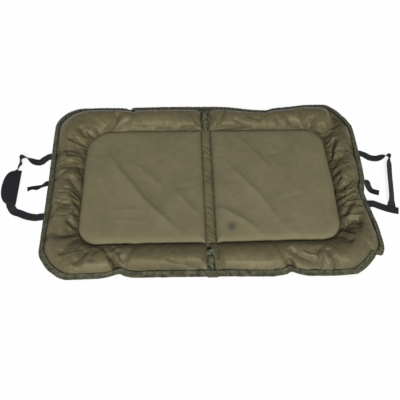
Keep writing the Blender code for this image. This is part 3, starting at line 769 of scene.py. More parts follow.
class HalfPlan:
    """The plan lines of one half, which all its layers share."""

    def __init__(self, side, tag, edge_pulls, seam_pulls):
        self.side = side
        self.tag = tag
        self.edge_pulls = edge_pulls
        self.seam_pulls = seam_pulls

    def world(self, plan):
        """The frame's x and y of a plan place on this half."""
        return np.array((FOLD_X + self.side * (STRIP_HALF + plan[0]), plan[1]))

    def cut(self, p):
        """The seam, the edge and the outward direction between them at one place."""
        seam = seam_place(p)
        edge = ring_point(HALF_X, EDGE_Y, EDGE_RADIUS, p)
        outward = (edge - seam).normalized()
        seam -= outward * along_table(self.seam_pulls, p)
        edge -= outward * along_table(self.edge_pulls, p)
        return seam, edge, outward

    def places(self, step):
        """Places round the half about one step apart along the mat's edge."""
        straight = HALF_X - EDGE_RADIUS
        corner = EDGE_RADIUS * math.pi / 2
        flat = (EDGE_Y - EDGE_RADIUS) * 2
        found = []
        for run, length in enumerate((straight, corner, flat, corner, straight)):
            count = round(length / step)
            found += [run + k / count for k in range(count)]
        return found + [5.0]


halves = {
    "left": HalfPlan(-1, "left", left_edge_pulls, left_seam_pulls),
    "right": HalfPlan(1, "right", right_edge_pulls, right_seam_pulls),
}
print("places round a half:", len(halves["left"].places(GRID)))

# %% [markdown]
# ## Creases
# A crease in stuffed nylon is a sharp valley between two nearly flat facets, and the facets catch the
# light differently, which is what makes the rim look crisp. Each crease is a short line with a depth
# and the width of the facet on each side of it. It fades towards both ends of its line. Pushes that
# are added up would turn to crumbs where creases crowd, so on the rim the deepest one counts at each
# point, and two creases meet in a ridge. Little light reaches the bottom of a real fold, so the
# bottom is also noted as a dark line for the finish.


# %% Pressing creases into a grid
CREASE_ROUND = 0.0007
DARK_LINE = 0.0018
DARK_DEPTH = 0.0080
DARK_FACET = 0.0080
FACET_REACH = 2.2
FACET_BEND = 1.3
CREASE_REACH = 4
CREASE_FADE = 0.18
END_BEND = 0.7


def to_line(points, line):
    """Signed distance to a line of plan points, and the share of the line that is nearest."""
    best = np.full(len(points), 1e9)
    signed = np.zeros(len(points))
    share = np.zeros(len(points))
    steps = np.linalg.norm(np.diff(line, axis=0), axis=1)
    total = steps.sum()
    done = 0.0
    for start, end, length in zip(line, line[1:], steps):
        direction = (end - start) / length
        offset = points - start
        run = np.clip(offset @ direction, 0.0, length)
        apart = offset - run[:, None] * direction
        distance = np.linalg.norm(apart, axis=1)
        turn = direction[0] * offset[:, 1] - direction[1] * offset[:, 0]
        nearer = distance < best
        best[nearer] = distance[nearer]
        signed[nearer] = (np.sign(turn) * distance)[nearer]
        share[nearer] = (done + run[nearer]) / total
        done += length
    return signed, share


def rounded(line, turns=2):
    """The same line with its corners cut twice, so that a fold bends and doesn't break."""
    line = np.array(line, float)
    for _ in range(turns):
        cut = [line[0]]
        for a, b in zip(line, line[1:]):
            cut += [a * 0.75 + b * 0.25, a * 0.25 + b * 0.75]
        cut.append(line[-1])
        line = np.array(cut)
    return line


def press(grid, crease, free=1.0, fade=CREASE_FADE, dark=None, pushed=None, soft=CREASE_ROUND):
    """Presses one crease into a grid of points; a negative depth raises a ridge.

    A crease is its line, its depth and the width of the facet on each side. With pushed given, the
    grid stays and the deepest push at each point is noted there. Each crease then has flat sides,
    and two creases meet in a sharp ridge.
    """
    line, depth, left_width, right_width = crease
    line = rounded(line)
    flat = grid.reshape(-1, 3)
    reach = CREASE_REACH * max(left_width, right_width)
    near = np.all((flat[:, :2] > line.min(0) - reach) & (flat[:, :2] < line.max(0) + reach), axis=1)
    if not near.any():
        return
    signed, share = to_line(flat[near, :2], line)
    width = np.where(signed > 0, left_width, right_width)
    aside = (np.hypot(signed, soft) - soft) / width
    ends = np.clip(np.minimum(share, 1 - share) / fade, 0, 1) ** END_BEND
    held = np.broadcast_to(free, grid.shape[:2]).reshape(-1)[near]
    if pushed is None:
        push = -depth * np.exp(-aside) * ends * held
        flat[near] += grid_normals(grid).reshape(-1, 3)[near] * push[:, None]
    else:
        push = depth * np.clip(1 - aside / FACET_REACH, 0, 1) ** FACET_BEND * ends * held
        pushed.reshape(-1)[near] = np.maximum(pushed.reshape(-1)[near], push)
    if dark is not None:
        narrow = min(1.0, DARK_FACET / max(left_width, right_width)) ** 2
        bottom = np.exp(-((signed / DARK_LINE) ** 2)) * ends * narrow * min(1.0, depth / DARK_DEPTH)
        dark.reshape(-1)[near] = np.maximum(dark.reshape(-1)[near], bottom)


print("a crease is rounded over", CREASE_ROUND * 2000, "mm at its bottom")

# %% [markdown]
# ## The rim
# The rim is a sleeve of nylon stuffed with loose fibre and sewn in at the panel and at the edge. The
# sleeve is longer than the seams it is sewn to, so it puckers. A cloth simulation is the natural way
# to get that: the sheet starts as a smooth arch, its sewn edges are held, the cloth is given a few
# per cent more length, and a little pressure stands in for the filling.

# %% Rim shape before the stuffing
rim_profile_shares = (
    (0.0, 0.0),
    (0.04, 0.26),
    (0.14, 0.60),
    (0.34, 0.93),
    (0.53, 1.0),
    (0.74, 0.80),
    (0.90, 0.34),
    (1.0, 0.0),
)
left_plump_shares = (
    (0.0, 0.42),
    (0.02, 0.62),
    (0.07, 0.90),
    (0.30, 0.98),
    (0.55, 0.96),
    (0.61, 0.86),
    (0.68, 0.97),
    (1.5, 1.0),
    (2.5, 0.96),
    (3.4, 1.0),
    (4.2, 0.98),
    (4.28, 0.96),
    (4.35, 0.78),
    (4.41, 0.94),
    (4.93, 0.90),
    (4.98, 0.62),
    (5.0, 0.42),
)
right_plump_shares = (
    (0.0, 0.42),
    (0.02, 0.62),
    (0.07, 0.90),
    (0.30, 0.94),
    (0.50, 0.85),
    (0.62, 0.95),
    (1.3, 1.0),
    (1.7, 0.96),
    (2.3, 0.95),
    (2.6, 0.90),
    (3.0, 1.0),
    (3.6, 1.0),
    (4.3, 0.96),
    (4.455, 0.76),
    (4.525, 0.93),
    (4.93, 0.90),
    (4.98, 0.62),
    (5.0, 0.42),
)
ACROSS = 26
ACROSS_EASE = 0.55
START_HEIGHT = 0.93


def arch(share):
    """The rim's height at one share of the way across it, as a share of its crest."""
    return max(0.0, along_table(rim_profile_shares, share))


def rim_arch(plan, plump_shares):
    """The smooth arch of the rim's cover: one row for each place round the half."""
    rows = []
    for p in plan.places(GRID):
        seam, edge, outward = plan.cut(p)
        flange = edge - outward * BINDING_WIDTH
        height = (RIM_TOP - SEAM_TOP) * along_table(plump_shares, p)
        row = []
        for share in spread(ACROSS, ACROSS_EASE):
            x, y = plan.world(seam.lerp(flange, share))
            row.append((x, y, SEAM_TOP + height * arch(share) * START_HEIGHT))
        rows.append(row)
    return np.array(rows)


arches = {
    "left": rim_arch(halves["left"], left_plump_shares),
    "right": rim_arch(halves["right"], right_plump_shares),
}
print("rim grid:", arches["left"].shape)

# %% Stuffing by cloth simulation
PRESSURE = 5.0
EXTRA_CLOTH = 0.030
LEAST_EXTRA = 0.002
CLOTH_FRAMES = 22
CLOTH_QUALITY = 6
CLOTH_MASS = 0.12
CLOTH_STRETCH = 14
CLOTH_SHEAR = 4
CLOTH_BEND = 0.30
MOST_SWELL = 0.007
START_RIPPLE = 0.0010
START_SCALES = (38.0, 90.0)
OUTER_HOLD = 0.35
OUTER_LEAST = 0.2
FIRST_SEED = 3
fullness_shares = (
    (0.0, 0.0),
    (0.75, 0.05),
    (1.05, 0.75),
    (1.5, 1.0),
    (3.5, 1.0),
    (4.0, 0.7),
    (4.3, 0.1),
    (5.0, 0.0),
)


def ripple(grid, seed, scale, height):
    """A small uneven start, so that the cloth has somewhere to buckle."""
    normals = grid_normals(grid)
    flat = grid.reshape(-1, 3)
    push = np.array([noise.noise(Vector((x, y, seed)) * scale) for x, y, _ in flat]) * height
    return (flat + normals.reshape(-1, 3) * push[:, None]).reshape(grid.shape)


def add_weights(sleeve, held, fullness):
    """Two vertex groups: the sewn points, and how little each row's cloth may grow."""
    sewn = sleeve.vertex_groups.new(name="sewn")
    sewn.add([int(i) for i in np.flatnonzero(held.reshape(-1))], 1.0, "REPLACE")
    tight = sleeve.vertex_groups.new(name="tight")
    columns = held.shape[1]
    for row, share in enumerate(fullness):
        tight.add(list(range(row * columns, (row + 1) * columns)), float(1 - share), "REPLACE")


def add_cloth(sleeve):
    """A thin coated nylon under a little pressure; it holds its own length well."""
    cloth = sleeve.modifiers.new("cloth", "CLOTH")
    settings = cloth.settings
    settings.vertex_group_mass = "sewn"
    settings.quality = CLOTH_QUALITY
    settings.mass = CLOTH_MASS
    settings.tension_stiffness = CLOTH_STRETCH
    settings.compression_stiffness = CLOTH_STRETCH
    settings.shear_stiffness = CLOTH_SHEAR
    settings.bending_stiffness = CLOTH_BEND
    settings.use_pressure = True
    settings.uniform_pressure_force = PRESSURE
    settings.vertex_group_shrink = "tight"
    settings.shrink_min = -EXTRA_CLOTH
    settings.shrink_max = -LEAST_EXTRA
    settings.effector_weights.gravity = 0.0
    cloth.collision_settings.use_collision = False
    cloth.point_cache.frame_start = 1
    cloth.point_cache.frame_end = CLOTH_FRAMES


def billow(grid, held, fullness):
    """Runs the cloth and returns where its points went; held marks the sewn ones."""
    rows, columns = grid.shape[:2]
    mesh = bpy.data.meshes.new("sleeve")
    mesh.from_pydata([tuple(p) for p in grid.reshape(-1, 3)], [], grid_faces(rows, columns))
    sleeve = bpy.data.objects.new("sleeve", mesh)
    scene.collection.objects.link(sleeve)
    if mesh.polygons[len(mesh.polygons) // 2].normal.z < 0:
        mesh.flip_normals()
    add_weights(sleeve, held, fullness)
    add_cloth(sleeve)
    for step in range(1, CLOTH_FRAMES + 1):
        scene.frame_set(step)
    moved = np.empty(grid.size)
    shaped = sleeve.evaluated_get(bpy.context.evaluated_depsgraph_get())
    shaped.data.vertices.foreach_get("co", moved)
    bpy.data.objects.remove(sleeve)
    scene.frame_set(1)
    return moved.reshape(grid.shape)


def stuffed(grid, seed, plan):
    """The arch after the simulation, with no point moved further than the cloth could go.
    """
    fullness = [along_table(fullness_shares, p) for p in plan.places(GRID)]
    start = ripple(grid, seed, START_SCALES[0], START_RIPPLE)
    start = ripple(start, seed + 7, START_SCALES[1], START_RIPPLE / 2)
    start[0], start[-1], start[:, 0], start[:, -1] = grid[0], grid[-1], grid[:, 0], grid[:, -1]
    held = np.zeros(grid.shape[:2], bool)
    held[0] = held[-1] = held[:, 0] = held[:, -1] = True
    move = billow(start, held, fullness) - grid
    length = np.linalg.norm(move, axis=2, keepdims=True)
    cap = MOST_SWELL * np.tanh(length / MOST_SWELL) / (length + 1e-9)
    to_edge = 1 - spread(ACROSS, ACROSS_EASE)
    outer = np.clip(to_edge / OUTER_HOLD, OUTER_LEAST, 1)[None, :, None]
    return grid + move * cap * outer


sleeves = {}
for seed, (tag, grid) in enumerate(arches.items(), FIRST_SEED):
    sleeves[tag] = refined(stuffed(grid, seed, halves[tag]))
heights = [round(float(sleeve[..., 2].max()), 4) for sleeve in sleeves.values()]
print("rim after stuffing reaches", heights, "m")

# %% [markdown]
# ## The folds of the rims
# Each row below is one fold that the photograph shows: its pixels, its depth, and the width of the
# facet on each side. The pixels are laid on the smooth arch, before the stuffing, so that no fold
# ends up behind a bulge. How far each pushes is only noted here, and pressed in after the puckers.

# %% Creases of the left rim
left_crease_pixels = (
    (((118, 112), (116, 120), (110.5, 128), (107, 135)), 0.013, 0.009, 0.008),
    (((132, 119.5), (122, 123.5), (115, 131)), 0.006, 0.010, 0.008),
    (((86.5, 130), (90.5, 134.5), (96, 139)), 0.008, 0.006, 0.007),
    (((79, 126), (83, 131), (88, 138)), 0.007, 0.008, 0.008),
    (((66, 136), (71, 137.5), (78, 141), (86.5, 144)), 0.011, 0.012, 0.010),
    (((56, 151), (66, 148.5), (74, 148), (84, 146)), 0.015, 0.022, 0.020),
    (((57, 165), (66, 165), (76, 165), (86, 167)), 0.012, 0.018, 0.017),
    (((67, 167), (61.5, 172), (56.5, 177), (54, 181.5)), 0.010, 0.008, 0.010),
    (((69, 175), (75, 184), (82, 195.5)), 0.009, 0.008, 0.010),
    (((78.5, 151), (83, 155.5), (88, 159)), 0.007, 0.005, 0.008),
    (((77.5, 167.5), (81.5, 171), (86, 174.5)), 0.007, 0.005, 0.008),
    (((74, 188.5), (78.5, 194), (83, 198)), 0.007, 0.005, 0.008),
    (((80, 145), (85, 148), (88.5, 152.5)), 0.006, 0.005, 0.007),
    (((55.5, 203.5), (64, 202), (72.5, 204)), 0.010, 0.014, 0.014),
    (((58, 205), (52.5, 210.5), (49.5, 219.5)), 0.009, 0.008, 0.010),
    (((56, 200), (52.5, 204), (51, 208)), 0.005, 0.005, 0.006),
    (((72, 198), (76, 202), (80, 206.5)), 0.007, 0.005, 0.008),
    (((66.5, 217), (73, 223), (79, 229)), 0.010, 0.008, 0.011),
    (((73.5, 210), (76.5, 213.5), (79.5, 217)), 0.006, 0.005, 0.006),
    (((70, 192), (74.5, 196), (80, 201)), 0.006, 0.005, 0.007),
    (((46.5, 232.5), (56, 234), (66, 233.5), (78, 231)), 0.012, 0.026, 0.012),
    (((80, 237), (71.5, 240), (65, 248), (59, 256)), 0.007, 0.008, 0.010),
    (((87, 248), (81, 257), (72, 265)), 0.010, 0.009, 0.013),
    (((96, 248), (92, 254), (90, 262)), 0.006, 0.008, 0.009),
    (((108.5, 252), (111, 258), (114, 264), (117, 269), (119, 274)), 0.022, 0.007, 0.006),
    (((117, 249), (120, 256), (123, 264)), 0.007, 0.006, 0.007),
    (((100, 246), (105, 250), (109.5, 255)), 0.005, 0.005, 0.004),
    (((114, 246), (111, 250), (109.5, 255)), 0.005, 0.005, 0.004),
    (((130, 124), (154, 124.5), (176, 124)), 0.003, 0.014, 0.006),
    (((154, 131), (160, 127.5), (167, 130), (173, 128)), 0.005, 0.005, 0.003),
    (((181, 131), (190, 128), (200.5, 131)), 0.006, 0.006, 0.003),
    (((190, 112), (196, 120), (199, 128)), 0.004, 0.006, 0.006),
    (((124, 270), (156, 272), (190, 274.5)), 0.005, 0.013, 0.006),
    (((184, 262), (194, 266), (205, 273)), 0.006, 0.010, 0.005),
    (((166, 258), (174, 262), (190, 265)), 0.003, 0.008, 0.006),
)

# %% Creases of the right rim
right_crease_pixels = (
    (((335.5, 110), (334.5, 119), (331, 126), (324, 130.5), (317, 133)), 0.018, 0.024, 0.015),
    (((298.5, 108.5), (302, 119), (307, 131)), 0.008, 0.008, 0.008),
    (((286, 121), (292, 122), (298, 126), (305, 131)), 0.009, 0.012, 0.009),
    (((311, 116), (311.5, 122), (310, 129)), 0.005, 0.008, 0.008),
    (((314.5, 132), (319, 133.5), (326, 133)), 0.007, 0.006, 0.006),
    (((320, 136.5), (325, 136.5), (331, 134.5)), 0.008, 0.006, 0.007),
    (((322, 142.5), (326.5, 141), (330, 136.5)), 0.008, 0.006, 0.007),
    (((324, 149), (328.5, 145.5), (333, 140)), 0.008, 0.006, 0.007),
    (((335, 136), (331, 145), (330, 156), (328.5, 164)), 0.013, 0.009, 0.009),
    (((329, 160), (338, 157.5), (346, 153), (352.5, 147)), 0.015, 0.020, 0.018),
    (((346, 140), (350, 145), (354.5, 148)), 0.008, 0.008, 0.009),
    (((331, 170), (334, 164), (337.5, 160)), 0.008, 0.006, 0.008),
    (((332, 178), (335, 173), (338.5, 168)), 0.008, 0.006, 0.008),
    (((333.5, 186), (337, 180), (340.5, 175)), 0.008, 0.006, 0.008),
    (((335, 193), (342, 187), (350, 182), (360, 179)), 0.014, 0.016, 0.013),
    (((346, 166), (352, 165), (356, 167)), 0.006, 0.008, 0.009),
    (((336.5, 201), (342, 196), (350, 192), (357, 189)), 0.009, 0.008, 0.008),
    (((338.5, 208), (343, 202), (350, 197), (359, 195)), 0.010, 0.009, 0.008),
    (((339.5, 218), (344.5, 212), (347, 205), (356, 199)), 0.012, 0.008, 0.011),
    (((354, 205.5), (360, 203), (363, 206)), 0.006, 0.008, 0.008),
    (((350, 214), (357, 212), (365, 210.5)), 0.008, 0.009, 0.010),
    (((338, 229), (346, 221.5), (354, 218), (364, 220)), 0.019, 0.012, 0.028),
    (((339.5, 233), (346, 236.5), (354, 241)), 0.008, 0.009, 0.011),
    (((290.5, 246.5), (296, 253), (305, 259), (315, 262.5), (323, 267)), 0.015, 0.014, 0.010),
    (((320, 245.5), (317.5, 252), (320, 258), (323, 268)), 0.010, 0.007, 0.007),
    (((302, 248), (310, 252), (317, 253)), 0.007, 0.010, 0.007),
    (((332.5, 257), (336, 263.5), (335, 270.5)), 0.009, 0.007, 0.007),
    (((328, 248), (330, 254), (333, 258)), 0.006, 0.007, 0.007),
    (((288, 258), (291, 264), (292.5, 271)), 0.013, 0.006, 0.006),
    (((364, 194), (366, 201), (370, 210)), 0.008, 0.006, 0.008),
    (((370, 214), (373, 222), (376.5, 232)), 0.006, 0.006, 0.007),
    (((211, 132.5), (220, 130), (236, 128), (252, 127.5)), 0.007, 0.007, 0.003),
    (((216, 128), (221, 118), (226, 110.5)), 0.005, 0.005, 0.006),
    (((233, 118), (239, 123), (245, 128.5)), 0.006, 0.006, 0.004),
    (((246, 115), (254, 118), (262, 119)), 0.004, 0.008, 0.005),
    (((274, 116), (278, 120), (280, 126)), 0.004, 0.005, 0.005),
    (((288, 120), (294, 124), (299.5, 128)), 0.004, 0.006, 0.004),
    (((218, 271), (230, 273), (250, 272.5)), 0.004, 0.010, 0.005),
    (((218, 262), (222, 267), (224, 272)), 0.005, 0.006, 0.005),
)

# %% Note how far they push
SEAM_HOLD = 5
HOLD_BEND = 0.8


def seam_hold(columns):
    """0 at the sewn edges of a grid and 1 a few columns in, so that a crease can't move a seam."""
    index = np.arange(columns)
    edge = np.minimum(index, columns - 1 - index)
    return np.clip(edge / SEAM_HOLD, 0, 1) ** HOLD_BEND


fold_darks = {tag: np.zeros(sleeve.shape[:2]) for tag, sleeve in sleeves.items()}
pushes = {tag: np.zeros(sleeve.shape[:2]) for tag, sleeve in sleeves.items()}
for tag, creases in (("left", left_crease_pixels), ("right", right_crease_pixels)):
    sleeve = sleeves[tag]
    smooth = refined(refined(arches[tag]))
    hold = seam_hold(sleeve.shape[1])
    for line, *sizes in creases:
        crease = (on_cloth(smooth, line), *sizes)
        press(sleeve, crease, free=hold, dark=fold_darks[tag], pushed=pushes[tag])
    print("noted", len(creases), "creases of the", tag, "rim")

# %% [markdown]
# ## Puckers at the seams
# Where the long sleeve was fed into the shorter seam, every few stitches hold a small tuck. They are
# too many to place by hand, so a loop lays them along the seam with a seeded random spread: close
# together on the short sides, where the sleeve is fullest, and sparse along the back and the front.
# Each run of the seam has its start, its end, a spacing, a depth and a length. When the tucks are
# noted too, all the pushes are pressed into the sleeves at once.

# %% Puckers
TUCK_LEAN = 0.7
TUCK_LEANS = (0.2, 1.5)
TUCK_REACHES = (0.6, 1.3)
TUCK_DEPTHS = (0.3, 1.4)
TUCK_WIDTHS = (0.0026, 0.0044)
TUCK_SPACINGS = (0.6, 1.4)
TUCK_BOW = 0.001
TUCK_UNEVEN = 1.3
TUCK_FADE = 0.3
left_tuck_runs = (
    (0.05, 0.98, 0.045, 0.0009, 0.010),
    (1.00, 2.00, 0.030, 0.0014, 0.014),
    (2.00, 3.00, 0.028, 0.0016, 0.014),
    (3.00, 4.00, 0.034, 0.0014, 0.016),
    (4.02, 4.95, 0.060, 0.0008, 0.010),
)
right_tuck_runs = (
    (0.05, 0.98, 0.050, 0.0009, 0.010),
    (1.00, 2.00, 0.028, 0.0016, 0.015),
    (2.00, 3.00, 0.026, 0.0020, 0.017),
    (3.00, 4.00, 0.034, 0.0014, 0.016),
    (4.02, 4.95, 0.050, 0.0009, 0.010),
)


def tuck_seam(grid, plan, tuck_runs, seed, dark, pushed):
    """Small tucks that run from the panel's seam out into the rim, leaning to the back."""
    dice = random.Random(seed)
    hold = seam_hold(grid.shape[1])
    for start, end, spacing, depth, length in tuck_runs:
        run = (seam_place(end) - seam_place(start)).length
        p = start
        while p < end:
            seam, _, outward = plan.cut(p)
            out = np.array((plan.side * outward.x, outward.y))
            lean = TUCK_LEAN * dice.uniform(*TUCK_LEANS)
            aim = out + np.array((0.0, lean)) * abs(out[0])
            aim /= np.linalg.norm(aim)
            foot = plan.world(seam)
            reach = length * dice.uniform(*TUCK_REACHES)
            line = [foot + aim * reach, foot + aim * reach * 0.5 + out * TUCK_BOW, foot]
            deep = depth * dice.uniform(*TUCK_DEPTHS)
            width = dice.uniform(*TUCK_WIDTHS)
            tuck = (line, deep, width, width * TUCK_UNEVEN)
            press(grid, tuck, free=hold, fade=TUCK_FADE, dark=dark, pushed=pushed)
            p += (end - start) * spacing * dice.uniform(*TUCK_SPACINGS) / run


tuck_seam(sleeves["left"], halves["left"], left_tuck_runs, 11, fold_darks["left"], pushes["left"])
tuck_seam(sleeves["right"], halves["right"], right_tuck_runs, 12, fold_darks["right"], pushes["right"])
for tag, sleeve in sleeves.items():
    sleeve -= grid_normals(sleeve) * pushes[tag][..., None]
print("deepest push:", {tag: round(float(pushed.max()), 4) for tag, pushed in pushes.items()}, "m")

# %% [markdown]
# ## Painted shade on the rims
# Cloth that is pressed together sees little light: at the panel's seam, along the binding and in the
# bottoms of the folds. That shade is painted: a value from 0 to 1 at each point says how much, and the
# finish mixes a deeper olive in by it. A few wider patches, named by a pixel, a radius and a strength,
# get a little painted shade too.

# %% Painted shade of the rims
seam_shade_shares = (
    (0.0, 0.35),
    (0.9, 0.35),
    (1.3, 0.6),
    (2.0, 1.0),
    (3.0, 1.0),
    (3.7, 0.55),
    (4.2, 0.4),
    (5.0, 0.4),
)
SEAM_SHADE_RUN = 0.017
SEAM_SHADE = {"left": 0.45, "right": 0.80}
SEAM_LINE = 0.0025
SEAM_LINE_MOST = 0.9
edge_shade_shares = ((0.0, 0.6), (0.7, 0.8), (1.1, 1.2), (2.0, 1.2), (2.6, 0.9), (3.2, 0.2), (5.0, 0.0))
EDGE_SHADE_RUN = 0.010
EDGE_SHADE = 0.55
EDGE_LINE = 0.0022
EDGE_LINE_MOST = 0.5
FOLD_SHADE = 0.65
# Painted shade: soft dark patches where the rim's cloth lies in its own shade.
shaded_pixels = {
    "left": (((76, 254), 0.024, 0.25), ((142, 262), 0.045, 0.14), ((182, 264), 0.045, 0.14)),
    "right": (((341, 122), 0.024, 0.42), ((348, 138), 0.022, 0.36), ((352, 226), 0.024, 0.18)),
}


def hill(apart, radius):
    """A soft round fall from 1 to 0 with the distance."""
    return np.exp(-((apart / radius) ** 2))


def rim_painted_shade(plan, grid):
    """The painted shade of the rim's cloth at each point of its grid."""
    stops = plan.places(GRID)
    places = np.interp(np.linspace(0, 1, len(grid)), np.linspace(0, 1, len(stops)), stops)
    at_seam = np.array([along_table(seam_shade_shares, p) for p in places])[:, None]
    at_edge = np.array([along_table(edge_shade_shares, p) for p in places])[:, None]
    from_seam = np.linalg.norm(grid[..., :2] - grid[:, :1, :2], axis=2)
    from_edge = np.linalg.norm(grid[..., :2] - grid[:, -1:, :2], axis=2)
    seam_line = SEAM_LINE_MOST * np.exp(-from_seam / SEAM_LINE)
    seam_band = at_seam * SEAM_SHADE[plan.tag] * hill(from_seam, SEAM_SHADE_RUN)
    edge_line = EDGE_LINE_MOST * np.exp(-from_edge / EDGE_LINE)
    edge_band = at_edge * EDGE_SHADE * hill(from_edge, EDGE_SHADE_RUN)
    # All of this is painted shade: at the seam, at the edge, in the fold bottoms and in the patches.
    wear = np.maximum(seam_line, seam_band) + np.maximum(edge_line, edge_band)
    wear += fold_darks[plan.tag] * FOLD_SHADE
    for pixel, radius, most in shaded_pixels[plan.tag]:
        centre = np.array(sight(pixel, RIM_TOP))[:2]
        wear += most * hill(np.linalg.norm(grid[..., :2] - centre, axis=2), radius)
    return wear


rim_shades = {tag: rim_painted_shade(plan, sleeves[tag]) for tag, plan in halves.items()}
# The mean painted shade of each rim.
print("mean wear of the rims:", {tag: round(float(wear.mean()), 3) for tag, wear in rim_shades.items()})

# %% [markdown]
# ## Closing the rims
# A sleeve has an outside only. An underside along the base cloth and a wall at each end make it a
# closed skin, which stands for the cover and its filling.

# %% Close the rims and hang them on their halves
MOST_HEIGHT = 0.054


def foot_height(x, start):
    """The underside's height: start at the strip, and down to the base cloth beside it."""
    return lerp(start, BASE_CLOTH, np.clip((abs(x - FOLD_X) - STRIP_HALF) / SEAM_FOOT, 0, 1))


def close_rim(grid, plan, wear):
    """The sleeve with its underside, which follows the base cloth, and a wall at each end."""
    grid[..., 2] = np.minimum(grid[..., 2], MOST_HEIGHT)
    low = BASE_AT_SEAM + UNDER_GAP
    inside = grid[:, 0].copy()
    outside = grid[:, -1].copy()
    away = outside[:, :2] - inside[:, :2]
    away /= np.linalg.norm(away, axis=1, keepdims=True)
    under = []
    for base, shift, z in (
        (outside, 0.0, low),
        (outside, -SEAM_FOOT, BASE_CLOTH + UNDER_GAP),
        (inside, SEAM_FOOT, BASE_CLOTH + UNDER_GAP),
        (inside, 0.0, low),
    ):
        plan_points = base[:, :2] + away * shift
        ridge = foot_height(plan_points[:, 0], low) + UNDER_GAP
        under.append(np.column_stack([plan_points, np.maximum(ridge, z)]))
    ring = np.concatenate([grid, np.stack(under, axis=1)], axis=1)
    faces = tube_faces(*ring.shape[:2])
    piece = new_piece("padded_rim_" + plan.tag, ring.reshape(-1, 3), faces, rim_nylon)
    # The sleeve's points carry the painted shade; the underside carries none.
    shade(piece, np.pad(wear, ((0, 0), (0, len(under)))).reshape(-1))
    return piece


for tag, plan in halves.items():
    rim = close_rim(sleeves[tag], plan, rim_shades[tag])
    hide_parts("rim_cover_" + tag, "rim_filling_" + tag)
    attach(rim, tag + "_half")
    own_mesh(rim)
    print(bounding_text(rim))

# %% [markdown]
# ## The panels
# Each panel is a foam slab under a taut cover, so it has a quick shoulder at the seam, then a long
# slow crown. Its height depends only on how far a point lies from the seam. The cover isn't perfectly
# tight: storing the mat folded leaves long soft ridges that cross it from back left to front right.
# The ridges are creases with a negative depth.

# %% Panel surface
PANEL_ACROSS = 110
PANEL_EASE = 0.6
STRAIGHT_ROWS = 78
CORNER_ROWS = 20
SEAM_SAMPLES = 121
SEAM_PULL_REACH = 0.09
panel_ripples = ((5.0, 14.0, 0.0012), (9.0, 42.0, 0.0004))
panel_rise_shares = (
    (0.0, 0.0),
    (0.012, 0.22),
    (0.03, 0.41),
    (0.075, 0.65),
    (0.167, 0.86),
    (0.55, 0.96),
    (1.0, 1.0),
)
PANEL_RUN = 0.120
RIDGE_ROUND = 0.0030
RIDGE_FADE = 0.25
RIDGE_HOLD = 3
SHOULDER_SHADE = 0.8
SHOULDER_SHADE_RUN = 0.0028
left_ridge_pixels = (
    (((108, 154), (122.5, 175), (133.5, 187), (139.5, 196), (151, 207), (161, 216), (173, 226), (186, 238)),
     -0.0076, 0.010, 0.014),
    (((130, 160), (142.5, 171), (156.5, 181.5), (166, 190)), -0.0026, 0.009, 0.010),
    (((174, 189), (186.5, 203), (196, 213), (201, 218)), -0.0047, 0.009, 0.011),
    (((111, 212), (130, 209), (143, 210)), -0.0012, 0.004, 0.005),
    (((113, 221.5), (127, 220), (146, 222)), -0.0011, 0.004, 0.005),
    (((175, 187.5), (188, 186.5), (200, 186)), 0.0010, 0.004, 0.004),
    (((92, 170), (112, 195), (128, 228)), -0.0018, 0.012, 0.014),
    (((150, 140), (166, 152), (184, 168)), -0.0014, 0.010, 0.012),
)
right_ridge_pixels = (
    (((222.5, 156.5), (241, 178), (255.5, 190.5), (268, 206.5), (282.5, 223.5), (292, 237)),
     -0.0060, 0.012, 0.013),
    (((238, 137), (252, 151), (263, 161), (275, 173)), -0.0036, 0.010, 0.010),
    (((213, 207), (230, 212.5), (242.5, 219.5), (255, 228), (262, 237)), -0.0072, 0.011, 0.012),
    (((286, 219), (292, 228), (296, 237)), -0.0034, 0.007, 0.010),
    (((262, 156.5), (270, 154), (279, 152.5)), 0.0014, 0.004, 0.004),
    (((278, 199), (290.5, 196.5), (303, 192.5), (312, 190)), 0.0009, 0.004, 0.004),
    (((216, 178), (228, 192), (240, 204)), -0.0016, 0.009, 0.012),
    (((262, 190), (270, 212), (276, 236)), 0.0016, 0.012, 0.010),
)


def panel_inset(x, y):
    """How far a plan point lies inside the panel's rounded outline."""
    over_x = x - (PANEL_REACH - PANEL_RADIUS)
    over_y = abs(y) - (PANEL_Y - PANEL_RADIUS)
    if over_x > 0 and over_y > 0:
        inset = PANEL_RADIUS - math.hypot(over_x, over_y)
    else:
        inset = min(PANEL_REACH - x, PANEL_Y - abs(y))
    return max(0.0, min(inset, x))


def panel_row_end(y):
    """The panel's reach at one y, round its corners."""
    over = abs(y) - (PANEL_Y - PANEL_RADIUS)
    if over <= 0:
        return PANEL_REACH
    return PANEL_REACH - PANEL_RADIUS + math.sqrt(max(0.0, PANEL_RADIUS**2 - over**2))


def panel_rows():
    """Rows of the panel's grid: even on the straight, by angle round the corners."""
    flat = PANEL_Y - PANEL_RADIUS
    turns = np.linspace(0, math.pi / 2, CORNER_ROWS + 1)[1:]
    corner = [flat + PANEL_RADIUS * math.sin(turn) for turn in turns]
    straight = list(np.linspace(-flat, flat, STRAIGHT_ROWS + 1))
    return [-y for y in reversed(corner)] + straight + corner


def seam_shift(samples, x, y):
    """How far the seam pull moves a plan point, fading towards the panel's middle."""
    point = Vector((x, y))
    place, pull = min(samples, key=lambda sample: (sample[0] - point).length_squared)
    nearness = max(0.0, 1 - (place - point).length / SEAM_PULL_REACH)
    return pull * nearness**2


